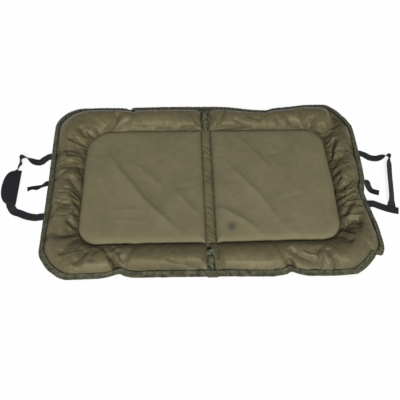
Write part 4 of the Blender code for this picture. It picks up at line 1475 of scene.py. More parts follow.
def panel_crown(plan):
    """The smooth crown over one panel, pulled to the seam line that its rim is sewn along."""
    samples = []
    for p in np.linspace(0, 5, SEAM_SAMPLES):
        samples.append((seam_place(p), plan.cut(p)[0] - seam_place(p)))
    grid = []
    for y in panel_rows():
        row = []
        for share in spread(PANEL_ACROSS, PANEL_EASE):
            x = panel_row_end(y) * share
            rise = along_table(panel_rise_shares, panel_inset(x, y) / PANEL_RUN)
            shift = seam_shift(samples, x, y)
            height = SEAM_TOP + (PANEL_TOP - SEAM_TOP) * rise
            row.append((*plan.world((x + shift.x, y + shift.y)), height))
        grid.append(row)
    return np.array(grid)


def make_panel(plan, ridges):
    """The crown with a slow unevenness, then with its ridges; both fade out at the seam."""
    grid = panel_crown(plan)
    edge_free = np.clip((grid[..., 2] - SEAM_TOP) / (PANEL_TOP - SEAM_TOP), 0, 1)[..., None]
    shaped = grid
    for seed, scale, height in panel_ripples:
        shaped = ripple(shaped, seed + plan.side, scale, height)
    grid = lerp(grid, shaped, edge_free)
    even = grid.copy()
    free = edge_free[..., 0] ** RIDGE_HOLD
    for line, *sizes in ridges:
        ridge = (on_cloth(even, line), *sizes)
        press(grid, ridge, free=free, fade=RIDGE_FADE, soft=RIDGE_ROUND)
    return grid


def close_panel(grid, plan):
    """The cover's grid, walled down at the seam and closed by the slab's flat underside."""
    rows, columns = grid.shape[:2]
    points = [tuple(point) for point in grid.reshape(-1, 3)]
    faces = grid_faces(rows, columns)
    loop = list(range(columns))
    loop += [i * columns + columns - 1 for i in range(1, rows)]
    loop += [(rows - 1) * columns + j for j in range(columns - 2, -1, -1)]
    loop += [i * columns for i in range(rows - 2, 0, -1)]
    middle = plan.world((PANEL_REACH / 2, 0.0))
    size = np.array([PANEL_REACH / 2, PANEL_Y])
    for inset, z in ((0.0, BASE_AT_SEAM + UNDER_GAP), (SEAM_FOOT, BASE_CLOTH + UNDER_GAP)):
        for i in loop:
            plan_point = np.array(points[i][:2])
            shrink = (size - inset) / size
            points.append((*(middle + (plan_point - middle) * shrink), z))
    count = len(loop)
    first = rows * columns
    for k in range(count):
        n = (k + 1) % count
        faces.append((loop[k], loop[n], first + n, first + k))
        faces.append((first + k, first + n, first + count + n, first + count + k))
    faces.append(tuple(first + count + k for k in range(count)))
    piece = new_piece("padded_panel_" + plan.tag, points, faces, panel_nylon)
    # Painted shade: the cloth darkens where its shoulder drops into the seam.
    heights = np.array([point[2] for point in points])
    shade(piece, np.exp(-(heights - SEAM_TOP) / SHOULDER_SHADE_RUN) * SHOULDER_SHADE)
    return piece


for tag, ridges in (("left", left_ridge_pixels), ("right", right_ridge_pixels)):
    plan = halves[tag]
    panel = close_panel(make_panel(plan, ridges), plan)
    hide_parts("panel_cover_" + tag, "panel_foam_" + tag)
    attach(panel, tag + "_half")
    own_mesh(panel)
    print(bounding_text(panel))

# %% [markdown]
# ## Base cloth
# Underneath, one plain cloth closes each half. It lies flat on the ground and is drawn up to the
# seams and to the edge, so from the side it rounds under the rim. It's a laid sheet, cut to the
# half's size: the outline again, a little thicker than paper.

# %% Base cloth
BASE_GRID = 1.6
BASE_TUCKED = 0.0015
BASE_FLANGE = 0.7
BASE_SLOPE = 0.030
BASE_RINGS = 3


def base_rings(plan, p):
    """Three points across the base cloth's edge: at the tape, inside it, and on the ground."""
    _, edge, outward = plan.cut(p)
    flange = edge - outward * BINDING_WIDTH * BASE_FLANGE
    return (
        (edge - outward * BASE_TUCKED, BASE_AT_SEAM),
        (flange, BASE_AT_SEAM),
        (flange - outward * BASE_SLOPE, BASE_CLOTH),
    )


def make_base(plan):
    """A ring of cloth round the edge, one flat face inside it, and the same again below."""
    places = plan.places(GRID * BASE_GRID)
    tops = []
    for p in places:
        for point, z in base_rings(plan, p):
            x, y = plan.world(point)
            tops.append((x, y, max(z, foot_height(x, BASE_AT_SEAM))))
    faces = grid_faces(len(places), BASE_RINGS)
    faces.append(tuple(range(BASE_RINGS - 1, len(tops), BASE_RINGS)))
    unders = [(x, y, z - BASE_CLOTH) for x, y, z in tops]
    points, faces = thickened(tops, faces, unders)
    return new_piece("base_sheet_dressed_" + plan.tag, points, faces, base_cloth)


def outline_area(plan):
    """The area inside a half's edge, by the shoelace sum."""
    points = [plan.world(plan.cut(p)[1]) for p in plan.places(GRID)]
    total = 0.0
    for a, b in zip(points, points[1:] + points[:1]):
        total += a[0] * b[1] - b[0] * a[1]
    return abs(total) / 2


for tag, plan in halves.items():
    base = make_base(plan)
    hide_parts("base_sheet_" + tag)
    outline_area(plan)
    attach(base, tag + "_half")
    print(bounding_text(base), f"area {outline_area(plan):.4f} m2")

# %% [markdown]
# ## The strip between the halves
# The strip is the mat's hinge: a narrow, lightly wadded band, sewn to both panels. Its cloth is
# slightly too long, so it lies in small slanting wrinkles. A short noise stretched along the slant
# makes them. Painted shade darkens it in the grooves beside the panels.

# %% Strip
STRIP_CROWN = 0.003
STRIP_END = PANEL_Y
STRIP_STEPS = (360, 20)
STRIP_SHARE = 0.985
STRIP_SUNK = 0.0004
CROWN_BEND = 0.6
WRINKLE_LEAN = 0.9
WRINKLE_SCALES = (26, 85)
WRINKLE_HEIGHT = 0.0022
FINE_WRINKLE = 2.3
FINE_HEIGHT = 0.0010
LEFT_GROOVE = 0.0022
LEFT_GROOVE_SHADE = 0.9
RIGHT_GROOVE = 0.0032
RIGHT_GROOVE_SHADE = 1.4


def slab_of(grid):
    """A grid of points closed by a copy of itself low down, with walls round the edge."""
    points = [tuple(point) for point in grid.reshape(-1, 3)]
    unders = [(x, y, BASE_AT_SEAM + UNDER_GAP) for x, y, _ in points]
    return thickened(points, grid_faces(*grid.shape[:2]), unders)


def strip_point(y, share):
    """One point of the strip: its crown and the wrinkles on it, level at both seams."""
    x = lerp(-STRIP_HALF, STRIP_HALF, share) * STRIP_SHARE
    slant = Vector((x * WRINKLE_SCALES[0], (y + x * WRINKLE_LEAN) * WRINKLE_SCALES[1], 2.0))
    wrinkle = noise.noise(slant) * WRINKLE_HEIGHT
    wrinkle += noise.noise(slant * FINE_WRINKLE) * FINE_HEIGHT
    crown = math.sin(math.pi * share) ** CROWN_BEND
    return (FOLD_X + x, y, SEAM_TOP - STRIP_SUNK + crown * (STRIP_CROWN + wrinkle))


def make_strip():
    """The strip's cloth row by row, closed below, with painted shade in the grooves at both seams."""
    grid = []
    for y in np.linspace(-STRIP_END, STRIP_END, STRIP_STEPS[0]):
        grid.append([strip_point(y, share) for share in spread(STRIP_STEPS[1])])
    grid = np.array(grid)
    piece = new_piece("padded_strip", *slab_of(grid), strip_cloth)
    from_left = grid[..., 0] - (FOLD_X - STRIP_HALF)
    from_right = (FOLD_X + STRIP_HALF) - grid[..., 0]
    # Painted shade along both seams, deeper and wider on the right.
    groove_shade = LEFT_GROOVE_SHADE * np.exp(-from_left / LEFT_GROOVE)
    groove_shade += RIGHT_GROOVE_SHADE * np.exp(-from_right / RIGHT_GROOVE)
    shade(piece, np.concatenate([groove_shade.reshape(-1), np.zeros(groove_shade.size)]))
    return piece


strip = make_strip()
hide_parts("strip_cover", "strip_wadding")
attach(strip, "fold_strip")
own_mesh(strip)
frame["nodes"]["strip_base"].data.materials.clear()
frame["nodes"]["strip_base"].data.materials.append(base_cloth.material)
print(bounding_text(strip))

# %% [markdown]
# ## The gathers
# Behind and in front of the strip the rim runs on from one half to the other. There it's pinched to
# about half its height, and its cloth stands in a few sharp folds that run out to the edge. The same
# arch and the same creases make it, on a short grid as wide as the strip.

# %% Gathers where the rim crosses the strip
GATHER_STEPS = (90, 36)
GATHER_EASES = (0.4, 0.3)
GATHER_SEED = 21.0
GATHER_SCALE = 60.0
GATHER_RIPPLE = 0.0016
GATHER_FADE = 0.12
GATHER_LEAST = 0.0006
gather_plump_shares = ((0.0, 0.42), (0.2, 0.52), (0.5, 0.66), (0.8, 0.52), (1.0, 0.42))
back_fold_pixels = (
    (((200.8, 107), (200.8, 115), (200.2, 121), (201.5, 126), (203.5, 133)), 0.0100, 0.0026, 0.0024),
    (((208.5, 109), (208.2, 116), (209.5, 122), (209, 128), (207.5, 133)), 0.0110, 0.0026, 0.0024),
    (((208, 122), (206.5, 123.5), (204.8, 125.5)), 0.0060, 0.0022, 0.0030),
    (((208, 126), (205.5, 128), (203.5, 130)), 0.0060, 0.0020, 0.0026),
    (((202, 119), (204.5, 119.5), (207.5, 118)), 0.0045, 0.0040, 0.0030),
    (((203, 110), (205, 112), (208, 111)), 0.0035, 0.0030, 0.0030),
)
front_fold_pixels = (
    (((205, 248), (203.6, 255), (206.4, 259), (206.6, 263), (208.3, 267), (212.5, 269.5)),
     0.0095, 0.0024, 0.0024),
    (((211, 250), (214, 255.5), (215.2, 259), (215.4, 265), (215.4, 269), (213.3, 274)),
     0.0100, 0.0024, 0.0024),
    (((206.5, 243.5), (208, 246), (208.5, 249.5)), 0.0130, 0.0040, 0.0040),
    (((206, 254.5), (209.5, 254), (213.5, 255.5)), 0.0050, 0.0022, 0.0030),
    (((210.5, 261), (212.5, 262.5), (215, 264)), 0.0060, 0.0024, 0.0024),
    (((203.5, 267), (206.5, 270.5), (209.5, 274)), 0.0060, 0.0024, 0.0024),
    (((207, 242), (210, 241.5), (213.5, 240.5)), 0.0050, 0.0024, 0.0024),
)
GATHER_FOLD_SHADE = 0.9


def gather_arch(end):
    """The pinched arch over the strip's end, before its folds: out to the edge, row by row."""
    rows = []
    for share in spread(GATHER_STEPS[0], GATHER_EASES[0]):
        row = []
        for side in spread(GATHER_STEPS[1], GATHER_EASES[1]):
            height = (RIM_TOP - SEAM_TOP) * along_table(gather_plump_shares, side) * arch(share)
            y = end * lerp(PANEL_Y, EDGE_Y - BINDING_WIDTH, share)
            row.append((FOLD_X + lerp(-STRIP_HALF, STRIP_HALF, side), y, SEAM_TOP + height))
        rows.append(row)
    return np.array(rows)


def make_gather(tag, end, folds):
    """One gather; end is 1 at the back and -1 at the front."""
    grid = ripple(gather_arch(end), GATHER_SEED + end, GATHER_SCALE, GATHER_RIPPLE)
    even = grid.copy()
    dark = np.zeros(grid.shape[:2])
    for line, *sizes in folds:
        press(grid, (on_cloth(even, line), *sizes), fade=GATHER_FADE, dark=dark)
    lowest = BASE_AT_SEAM + UNDER_GAP + GATHER_LEAST
    grid[..., 2] = np.clip(grid[..., 2], lowest, MOST_HEIGHT)
    gather = new_piece("padded_gather_" + tag, *slab_of(grid), gather_cloth)
    # Painted shade: the bottoms of the gathers' folds are darkened.
    shade(gather, np.concatenate([dark.reshape(-1) * GATHER_FOLD_SHADE, np.zeros(dark.size)]))
    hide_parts("rim_gather_" + tag, "gather_filling_" + tag)
    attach(gather, "fold_strip")
    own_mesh(gather)
    print(bounding_text(gather))


make_gather("back", 1, back_fold_pixels)
make_gather("front", -1, front_fold_pixels)

# %% [markdown]
# ## Edge binding
# A woven tape is folded round the edge and stitched through. It's eased round the corners and
# gathered with the cloth, so it ripples. Each half's tape runs on across the strip to its middle.

# %% Binding
BINDING_RING = 16
WIDE_BEND = 0.6
TALL_BEND = 0.8
BRIDGE_STEPS = 6
RIPPLE_LENGTH = 0.0125
RIPPLE_SWELL = 0.16
RIPPLE_LEAN = 0.9
RIPPLE_LIFT = 0.0005
DRIFT_SCALE = 9
DRIFT_TURN = 5
WOBBLE_SCALE = 45
WOBBLE_DEPTH = 0.0010
TAPE_WIDTH = 0.0180
CLIMB_FROM = 0.0110
CLIMB = 0.9
INNER_SHADE = 0.8
INNER_SHADE_RUN = 0.0035
RIPPLE_SHADE = 0.55


def binding_ring(depth_shift, swell):
    """The tape's cross-section: depth in from the edge, and height about the sewn plane."""
    ring = []
    for k in range(BINDING_RING):
        turn = 2 * math.pi * k / BINDING_RING
        c, s = math.cos(turn), math.sin(turn)
        wide = math.copysign(abs(c) ** WIDE_BEND, c)
        tall = math.copysign(abs(s) ** TALL_BEND, s)
        depth = TAPE_WIDTH / 2 * (1 - wide) + depth_shift
        climb = max(0.0, depth - CLIMB_FROM) * CLIMB if s > 0 else 0.0
        ring.append((depth, tall * BINDING_HEIGHT / 2 * swell + climb))
    return ring


def tape_places(plan):
    """The edge and its outward direction, step by step, from the strip's middle round to it again."""
    stops = [(x, 0.0) for x in np.linspace(-STRIP_HALF, 0, BRIDGE_STEPS + 1)[:-1]]
    stops += [(None, p) for p in plan.places(GRID / 2)]
    stops += [(x, 5.0) for x in np.linspace(0, -STRIP_HALF, BRIDGE_STEPS + 1)[1:]]
    found = []
    for x, p in stops:
        _, edge, outward = plan.cut(p)
        found.append((edge if x is None else Vector((x, edge.y)), outward))
    return found


def make_binding(plan):
    """The tape ring by ring: it swells and leans in ripples; painted shade darkens its inner edge and
    troughs.
    """
    places = tape_places(plan)
    points = []
    tape_shades = []
    run = 0.0
    last = places[0][0]
    for edge, outward in places:
        run += math.dist(edge, last)
        last = edge
        drift = DRIFT_TURN * noise.noise(Vector((run * DRIFT_SCALE, plan.side, 4.0)))
        wave = math.sin(2 * math.pi * run / RIPPLE_LENGTH + drift)
        wobble = noise.noise(Vector((run * WOBBLE_SCALE, plan.side * 3, 0.0))) * WOBBLE_DEPTH
        for depth, height in binding_ring(wobble, 1.0 + RIPPLE_SWELL * wave):
            skew = math.sin(2 * math.pi * (run - depth * RIPPLE_LEAN) / RIPPLE_LENGTH + drift)
            lift = RIPPLE_LIFT * skew if height > 0 else 0.0
            points.append((*plan.world(edge - outward * depth), PINCH + height + lift))
            # Painted shade: dark along the tape's inner edge and in the ripples' troughs.
            inner = max(0.0, 1 - (TAPE_WIDTH - depth) / INNER_SHADE_RUN)
            tape_shades.append(inner * INNER_SHADE + max(0.0, -skew) ** 3 * RIPPLE_SHADE)
    faces = tube_faces(len(places), BINDING_RING)
    tape = new_piece("edge_tape_" + plan.tag, points, faces, binding_tape)
    shade(tape, tape_shades)
    return tape


for tag, plan in halves.items():
    tape = make_binding(plan)
    if tag == "left":
        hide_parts("edge_binding_left", "binding_bridge_back")
        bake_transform(tape)
    else:
        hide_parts("edge_binding_right", "binding_bridge_front")
        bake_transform(tape)
    print(bounding_text(tape))

# %% [markdown]
# ## Webbing
# Straps are flat ribbons that lie on the ground, stand on edge where they twist, and cross each
# other. A ribbon is made directly: a smooth curve through given points, a short rounded section
# turned by the strap's roll, and one ring of points for each step. Its UV map counts metres
# along the strap, so that the woven ribs keep their size. Each row of a route has a share of the
# reach out from the edge, a share of the swing along it, how the strap rests, and its roll.

# %% Strap routes
WEBBING_WIDTH = 0.025
WEBBING_THICKNESS = 0.0015
TAB_WIDTH = 0.020
ON_FLOOR = 0.0003
ROOT_GAP = 0.00095
WRAP_WEBBING_HEIGHT = Vector(joints["wrap_open"]["pos_m"]).z
LEFT_HANDLE_REACH = 0.0975
LEFT_HANDLE_SWING = 0.114
RIGHT_HANDLE_REACH = 0.100
RIGHT_HANDLE_SWING = 0.099
RIGHT_HANDLE_CENTRE = 0.013
LEFT_TAB_REACH = 0.062
LEFT_TAB_SWING = 0.018
LEFT_TAB_CENTRE = 0.008
RIGHT_TAB_REACH = 0.038
RIGHT_TAB_SWING = 0.036
RIGHT_TAB_CENTRE = -0.002
left_handle_shares = (
    (0.0, 1.0, "sewn", 0),
    (0.07, 1.0, "leaving", 0),
    (0.20, 0.96, "landing", 0),
    (0.36, 0.87, "floor", 0),
    (0.56, 0.88, "floor", 12),
    (0.77, 0.97, "floor", 58),
    (0.94, 1.01, "floor", 80),
    (1.01, 0.93, "floor", 84),
    (0.99, 0.80, "floor", 56),
    (0.985, 0.715, "floor", 42),
    (0.995, 0.655, "floor", 50),
    (1.01, 0.59, "floor", 62),
    (1.06, 0.53, "wrapped", 24),
    (1.09, 0.46, "wrapped", 0),
    (1.11, 0.30, "wrapped", 0),
    (1.12, -0.06, "wrapped", 0),
    (1.11, -0.38, "wrapped", 0),
    (1.08, -0.55, "wrapped", 0),
    (1.04, -0.63, "wrapped", 0),
    (0.93, -0.76, "floor", 0),
    (0.74, -0.83, "floor", 0),
    (0.50, -0.92, "floor", 0),
    (0.24, -0.985, "landing", 0),
    (0.08, -1.0, "leaving", 0),
    (0.0, -1.0, "sewn", 0),
)
right_handle_shares = (
    (0.0, 1.0, "sewn", 0),
    (0.07, 1.0, "leaving", 0),
    (0.20, 0.98, "landing", 0),
    (0.38, 0.89, "floor", 0),
    (0.60, 0.85, "floor", -6),
    (0.82, 0.91, "floor", -34),
    (0.97, 0.89, "floor", -78),
    (1.0, 0.78, "floor", -82),
    (0.94, 0.60, "floor", -38),
    (0.87, 0.24, "floor", -36),
    (0.80, -0.20, "floor", -36),
    (0.74, -0.58, "floor", -36),
    (0.69, -0.84, "floor", -32),
    (0.66, -1.01, "floor", 0),
    (0.64, -1.20, "floor", 0),
)
right_end_shares = (
    (0.0, -1.0, "sewn", 0),
    (0.08, -1.0, "leaving", 0),
    (0.22, -1.04, "climbing", 0),
    (0.43, -1.11, "crossing", 0),
    (0.63, -1.18, "crossing", 0),
    (0.83, -1.23, "crossing", 0),
)
left_tab_shares = (
    (0.0, 0.0, "sewn", 0),
    (0.12, -0.16, "leaving", 14),
    (0.30, -0.36, "floor", 28),
    (0.52, -0.54, "floor", 10),
    (0.76, -0.64, "floor", 22),
    (1.0, -0.88, "floor", 12),
)
right_tab_shares = (
    (0.0, 0.0, "sewn", 0),
    (0.10, -0.10, "leaving", 0),
    (0.18, -0.42, "landing", 0),
    (0.36, -0.76, "floor", 0),
    (0.67, -0.93, "floor", 0),
    (1.0, -1.03, "floor", 0),
)
leaving_height_share = 0.86
landing_height_share = 0.36


def lying(roll, width):
    """Height of the centre of a strap that touches the ground with its lower edge."""
    turn = abs(math.radians(roll))
    return width / 2 * math.sin(turn) + WEBBING_THICKNESS / 2 * math.cos(turn) + ON_FLOOR


def strap_height(rest, roll, width):
    """Height of a strap's centre where it is sewn, falls, lies, is wrapped or crosses another."""
    flat = lying(0, width)
    landing = lerp(flat, PINCH, landing_height_share)
    heights = {
        "sewn": PINCH,
        "leaving": lerp(flat, PINCH, leaving_height_share),
        "landing": landing,
        "floor": lying(roll, width),
        "wrapped": WRAP_WEBBING_HEIGHT,
        "climbing": landing + WEBBING_THICKNESS,
        "crossing": flat + WEBBING_THICKNESS + ON_FLOOR,
    }
    return heights[rest]


def route_of(side, shares, spans, width):
    """A route in metres from its shares; spans are the reach out, the centre's y and the swing."""
    reach, centre, swing = spans
    route = []
    for out, along, rest, roll in shares:
        x = FOLD_X + side * (EDGE_X + lerp(ROOT_GAP, reach, out))
        route.append((x, centre + swing * along, strap_height(rest, roll, width), roll))
    return route


left_spans = (LEFT_HANDLE_REACH, 0.0, LEFT_HANDLE_SWING)
right_spans = (RIGHT_HANDLE_REACH, RIGHT_HANDLE_CENTRE, RIGHT_HANDLE_SWING)
left_tab_spans = (LEFT_TAB_REACH, LEFT_TAB_CENTRE, LEFT_TAB_SWING)
right_tab_spans = (RIGHT_TAB_REACH, RIGHT_TAB_CENTRE, RIGHT_TAB_SWING)
routes = {
    "left": route_of(-1, left_handle_shares, left_spans, WEBBING_WIDTH),
    "right": route_of(1, right_handle_shares, right_spans, WEBBING_WIDTH),
    "right_end": route_of(1, right_end_shares, right_spans, WEBBING_WIDTH),
    "left_tab": route_of(-1, left_tab_shares, left_tab_spans, TAB_WIDTH),
    "right_tab": route_of(1, right_tab_shares, right_tab_spans, TAB_WIDTH),
}
print("strap routes:", {name: len(route) for name, route in routes.items()})

# %% Straps
STRAP_STEP = 0.0022
LEAST_STEPS = 6
LENGTH_SAMPLES = 400
TANGENT_STEP = 0.02
SECTION_ROUND = 0.0006
ROOT_DEPTH = 0.020
ROOT_STEPS = 8
webbing_size = (WEBBING_WIDTH, WEBBING_THICKNESS)
tab_size = (TAB_WIDTH, WEBBING_THICKNESS)


def smooth_point(route, place):
    """A point on one smooth curve through the route's points, at place counted in points."""
    k = min(int(place), len(route) - 2)
    t = place - k
    four = [route[min(max(i, 0), len(route) - 1)] for i in (k - 1, k, k + 1, k + 2)]
    if k == 0:
        four[0] = [2 * b - a for a, b in zip(four[2], four[1])]
    if k == len(route) - 2:
        four[3] = [2 * b - a for a, b in zip(four[1], four[2])]
    weights = (
        (-t + 2 * t**2 - t**3) / 2,
        (2 - 5 * t**2 + 3 * t**3) / 2,
        (t + 4 * t**2 - 3 * t**3) / 2,
        (-(t**2) + t**3) / 2,
    )
    return [sum(w * p[i] for w, p in zip(weights, four)) for i in range(len(route[0]))]


def strap_frames(route, width, thickness, start=0.0, end=1.0, lift=0.0):
    """Centre, sideways and upward direction at each step along a strap."""
    last = len(route) - 1
    samples = range(LENGTH_SAMPLES + 1)
    rough = [Vector(smooth_point(route, last * k / LENGTH_SAMPLES)[:3]) for k in samples]
    length = sum((b - a).length for a, b in zip(rough, rough[1:])) * (end - start)
    steps = max(LEAST_STEPS, round(length / STRAP_STEP))
    frames = []
    for step in range(steps + 1):
        place = last * lerp(start, end, step / steps)
        here = smooth_point(route, place)
        before = Vector(smooth_point(route, max(place - TANGENT_STEP, 0.0))[:3])
        after = Vector(smooth_point(route, min(place + TANGENT_STEP, float(last)))[:3])
        along = (after - before).normalized()
        level = Vector((-along.y, along.x, 0.0)).normalized()
        upright = along.cross(level)
        roll = math.radians(here[3])
        across = level * math.cos(roll) + upright * math.sin(roll)
        out = upright * math.cos(roll) - level * math.sin(roll)
        centre = Vector(here[:3]) + out * lift
        half_height = abs(across.z) * width / 2 + abs(out.z) * thickness / 2
        centre.z = max(centre.z, half_height)
        frames.append((centre, across, out))
    return frames


def strap_section(width, thickness):
    """A flat section with round edges, as across and up."""
    w, h = width / 2, thickness / 2
    bend = min(h, SECTION_ROUND)
    across = (1.0, 0.72, 0.36, 0.0, -0.36, -0.72, -1.0)
    top = [(w * a, h) for a in across]
    top[0] = (w - bend, h)
    top[-1] = (-w + bend, h)
    bottom = [(-a, -b) for a, b in top]
    return [(w, h - bend), *top, (-w, h - bend), (-w, bend - h), *bottom, (w, bend - h)]


def make_strap(name, frames, size, finish):
    """One ring of the section at each frame, closed at both ends; size is width and thickness."""
    section = strap_section(*size)
    points = []
    for centre, across, out in frames:
        for a, b in section:
            points.append(centre + across * a + out * b)
    piece = new_piece(name, points, tube_faces(len(frames), len(section)), finish)
    lay_uv(piece, frames, section, size[0])
    return piece


def lay_uv(piece, frames, section, width):
    """Metres along the strap and across it, for the woven ribs."""
    runs = [0.0]
    for (a, _, _), (b, _, _) in zip(frames, frames[1:]):
        runs.append(runs[-1] + (b - a).length)
    layer = piece.data.uv_layers.new(name="run")
    count = len(section)
    for loop in piece.data.loops:
        i, j = divmod(loop.vertex_index, count)
        layer.data[loop.index].uv = (runs[i], section[j][0] + width)


def with_root(frames, side, at_end=False):
    """Carries a strap's sewn end on, level, into the edge of the mat."""
    centre, across, out = frames[-1] if at_end else frames[0]
    inward = Vector((-side, 0, 0))
    extra = []
    for k in range(1, ROOT_STEPS + 1):
        extra.append((centre + inward * ROOT_DEPTH * k / ROOT_STEPS, across, out))
    return frames + extra if at_end else extra[::-1] + frames


def sewn_to(piece):
    """Bakes the strap's place into its points; it is not hung on a body."""
    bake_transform(piece)


handle_parts = (
    ("left", "left", -1, True),
    ("right", "right", 1, False),
    ("right_end", "right", 1, False),
)
for part, tag, side, sewn_twice in handle_parts:
    frames = with_root(strap_frames(routes[part], *webbing_size), side)
    if sewn_twice:
        frames = with_root(frames, side, at_end=True)
    piece = make_strap("webbing_handle_" + part, frames, webbing_size, black_webbing)
    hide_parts("handle_webbing_" + part)
    sewn_to(piece)
    print(bounding_text(piece))

# %% [markdown]
# ## Closing tabs
# Two narrower straps hold the folded mat shut, one with hook and one with loop at its end. The patch
# is a second, thinner strap along the last part of the same route, lifted on to the first one's face.

# %% Closing tabs
PATCH_MARGIN = 0.002
PATCH_START = 0.60
PATCH_END = 0.97
tab_parts = (("left", -1, "tab_hook_patch", 0.0007), ("right", 1, "tab_loop_patch", 0.0006))
for tag, side, node, thickness in tab_parts:
    route = routes[tag + "_tab"]
    frames = with_root(strap_frames(route, *tab_size), side)
    piece = make_strap("webbing_tab_" + tag, frames, tab_size, black_webbing)
    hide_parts("closure_tab_" + tag)
    sewn_to(piece)
    size = (TAB_WIDTH - 2 * PATCH_MARGIN, thickness)
    lift = WEBBING_THICKNESS / 2 + ON_FLOOR + thickness / 2
    frames = strap_frames(route, *size, PATCH_START, PATCH_END, lift)
    patch = make_strap(node + "_pile", frames, size, hook_and_loop)
    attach(patch, tag + "_tab")
    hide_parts(node)
    print(bounding_text(piece))

# %% [markdown]
# ## Grip wrap
# The left handle has a soft half-moon wrap. It's one padded leaf folded over the webbing and closed
# with hook-and-loop along its curved side. In section it's a C, so the mesh is a C-shaped ring
# repeated along the grip.

# %% Grip wrap
WRAP_LENGTH = 0.126
WRAP_WIDTH = 0.049
WRAP_FOLD_X = Vector(joints["wrap_open"]["pos_m"]).x
WRAP_LEAF = 0.0024
WRAP_INSIDE = 0.0021
WRAP_PUFF = 0.0036
WRAP_LEAN = 1.5
PUFF_BEND = 0.8
WRAP_TIP = 0.0009
WRAP_FOLD_OUT = 0.0034
WRAP_FOLD_IN = 0.0006
WRAP_FOLD_BEND = 0.0005
WRAP_STEPS = 12
WRAP_ROWS = 44
LEAST_BOW = 0.10
wrap_fold_turns = (-0.72, -0.38, 0.0, 0.38, 0.72)
wrap_bow_front = 0.56
wrap_bow_back = 0.43


def wrap_section(width, fullness):
    """The C of the wrap at one place along the grip, as distance out from its fold and height."""
    low = ON_FLOOR
    inner_low = low + WRAP_LEAF
    inner_high = inner_low + WRAP_INSIDE
    shares = np.linspace(0.0, 1.0, WRAP_STEPS)
    top = inner_high + WRAP_LEAF
    outer_top = []
    for share in shares:
        puff = WRAP_PUFF * fullness * math.sin(math.pi * share**WRAP_LEAN) ** PUFF_BEND
        outer_top.append((width * share, top + puff))
    tip_high = [(width + WRAP_TIP, inner_high + WRAP_LEAF * 0.5)]
    inside_high = [(width * share, inner_high) for share in shares[::-1][:-1]]
    fold_in = [(WRAP_FOLD_IN, inner_high - WRAP_FOLD_BEND), (WRAP_FOLD_IN, inner_low + WRAP_FOLD_BEND)]
    inside_low = [(width * share, inner_low) for share in shares[1:]]
    tip_low = [(width + WRAP_TIP, inner_low - WRAP_LEAF * 0.5)]
    outer_low = [(width * share, low) for share in shares[::-1]]
    fold_out = []
    for turn in wrap_fold_turns:
        angle = turn * math.pi / 2
        height = (low + top) / 2 + math.sin(angle) * (top - low) / 2
        fold_out.append((-math.cos(angle) * WRAP_FOLD_OUT, height))
    return outer_top + tip_high + inside_high + fold_in + inside_low + tip_low + outer_low + fold_out


def make_wrap():
    """The section repeated along the grip, narrowing to both ends on a half-moon's outline."""
    rows = []
    for step in range(WRAP_ROWS + 1):
        angle = lerp(-1.0, 1.0, step / WRAP_ROWS) * math.pi / 2
        y = math.sin(angle) * WRAP_LENGTH / 2
        bow_share = wrap_bow_back if angle > 0 else wrap_bow_front
        width = WRAP_WIDTH * max(LEAST_BOW, math.cos(angle)) ** bow_share
        fullness = max(0.0, math.cos(angle)) ** 0.5
        rows.append([(WRAP_FOLD_X - out, y, z) for out, z in wrap_section(width, fullness)])
    points = [point for row in rows for point in row]
    return new_piece("padded_grip_wrap", points, tube_faces(len(rows), len(rows[0])), wrap_cloth)


wrap = make_wrap()
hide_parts("grip_wrap_lower", "grip_wrap_upper")
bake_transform(wrap)
for node in ("wrap_hook_patch", "wrap_loop_patch"):
    frame["nodes"][node].data.materials.clear()
    frame["nodes"][node].data.materials.append(hook_and_loop.material)
print(bounding_text(wrap))

# %% [markdown]
# ## Bar tacks and stitches
# Sewn straps are tacked with a short dense bar of thread, and the two lengths of the right handle
# are joined by a box of stitches with a cross in it. Thread is a row of small rounded stitches, each
# a short six-sided bead.

# %% Thread
STITCH = 0.0032
STITCH_GAP = 0.0012
THREAD = 0.0009
BEAD_SIDES = 6
bead_rings = ((0.0, 0.35), (0.2, 1.0), (0.8, 1.0), (1.0, 0.35))
stitch_ends = (0.08, 0.86)


def bead(start, end, thick):
    """One stitch between two points: a six-sided bead with drawn-in ends."""
    start, end = Vector(start), Vector(end)
    along = (end - start).normalized()
    level = along.cross(Vector((0, 0, 1))).normalized()
    upright = level.cross(along)
    points = []
    for share, size in bead_rings:
        for k in range(BEAD_SIDES):
            turn = 2 * math.pi * k / BEAD_SIDES
            side = level * math.cos(turn) * thick / 2 + upright * math.sin(turn) * thick / 3
            points.append(start.lerp(end, share) + side * size)
    return points, tube_faces(len(bead_rings), BEAD_SIDES)


def sew(name, lines, thick):
    """Rows of stitches along straight lines, as one mesh."""
    points = []
    faces = []
    for start, end in lines:
        start, end = Vector(start), Vector(end)
        count = max(1, round((end - start).length / (STITCH + STITCH_GAP)))
        for k in range(count):
            a, b = (start.lerp(end, (k + share) / count) for share in stitch_ends)
            more, more_faces = bead(a, b, thick)
            faces += [tuple(i + len(points) for i in face) for face in more_faces]
            points += more
    return new_piece(name, points, faces, thread)


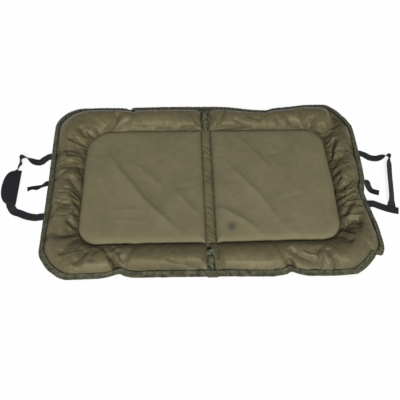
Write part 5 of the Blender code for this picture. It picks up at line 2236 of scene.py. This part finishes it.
def edge_at(plan, y):
    """The outer edge's distance from the strip's seam at one y on the side run."""
    side_run = [p for p in plan.places(GRID / 2) if 1.8 < p < 3.2]
    best = min(side_run, key=lambda p: abs(plan.cut(p)[1].y - y))
    return plan.cut(best)[1].x


print("stitches are", 1000 * STITCH, "mm long and", 1000 * STITCH_GAP, "mm apart")

# %% Tacks and the stitch box
TACK_BARS = 14
TACK_HALF_WIDTH = 0.009
TACK_HALF_DEPTH = 0.0013
TACK_SLANT = 0.0005
TACK_THREAD = 0.0013
TACK_INSET = 0.55
TACK_PROUD = 0.0004
BOX_PROUD = 0.0001
tacks = (
    ("left", "back", LEFT_HANDLE_SWING),
    ("left", "tab", LEFT_TAB_CENTRE),
    ("left", "front", -LEFT_HANDLE_SWING),
    ("right", "back", RIGHT_HANDLE_CENTRE + RIGHT_HANDLE_SWING),
    ("right", "tab", RIGHT_TAB_CENTRE),
    ("right", "front", RIGHT_HANDLE_CENTRE - RIGHT_HANDLE_SWING),
)


def tack_lines(plan, y):
    """The bars of one tack: short slanting lines side by side on the binding's upper face."""
    x = edge_at(plan, y) - BINDING_WIDTH * TACK_INSET
    z = PINCH + BINDING_HEIGHT / 2 + TACK_PROUD
    lines = []
    for k in range(TACK_BARS):
        step = lerp(-TACK_HALF_WIDTH, TACK_HALF_WIDTH, k / (TACK_BARS - 1))
        a = plan.world((x - TACK_HALF_DEPTH, y + step))
        b = plan.world((x + TACK_HALF_DEPTH, y + step + TACK_SLANT))
        lines.append(((*a, z), (*b, z)))
    return lines


for tag, where, y in tacks:
    lines = tack_lines(halves[tag], y)
    tack = sew("bar_tack_sewn_" + tag + "_" + where, lines, TACK_THREAD)
    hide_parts("bar_tack_" + tag + "_" + where)
    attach(tack, tag + "_half")

low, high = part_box("handle_stitch_box")
corners = [(low.x, low.y), (high.x, low.y), (high.x, high.y), (low.x, high.y)]
z = low.z + BOX_PROUD
lines = [((*a, z), (*b, z)) for a, b in zip(corners, corners[1:] + corners[:1])]
lines += [((*corners[0], z), (*corners[2], z)), ((*corners[1], z), (*corners[3], z))]
box = sew("stitch_box_sewn", lines, THREAD)
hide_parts("handle_stitch_box")
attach(box, "right_handle")
print("tacks:", len(tacks), bounding_text(box))
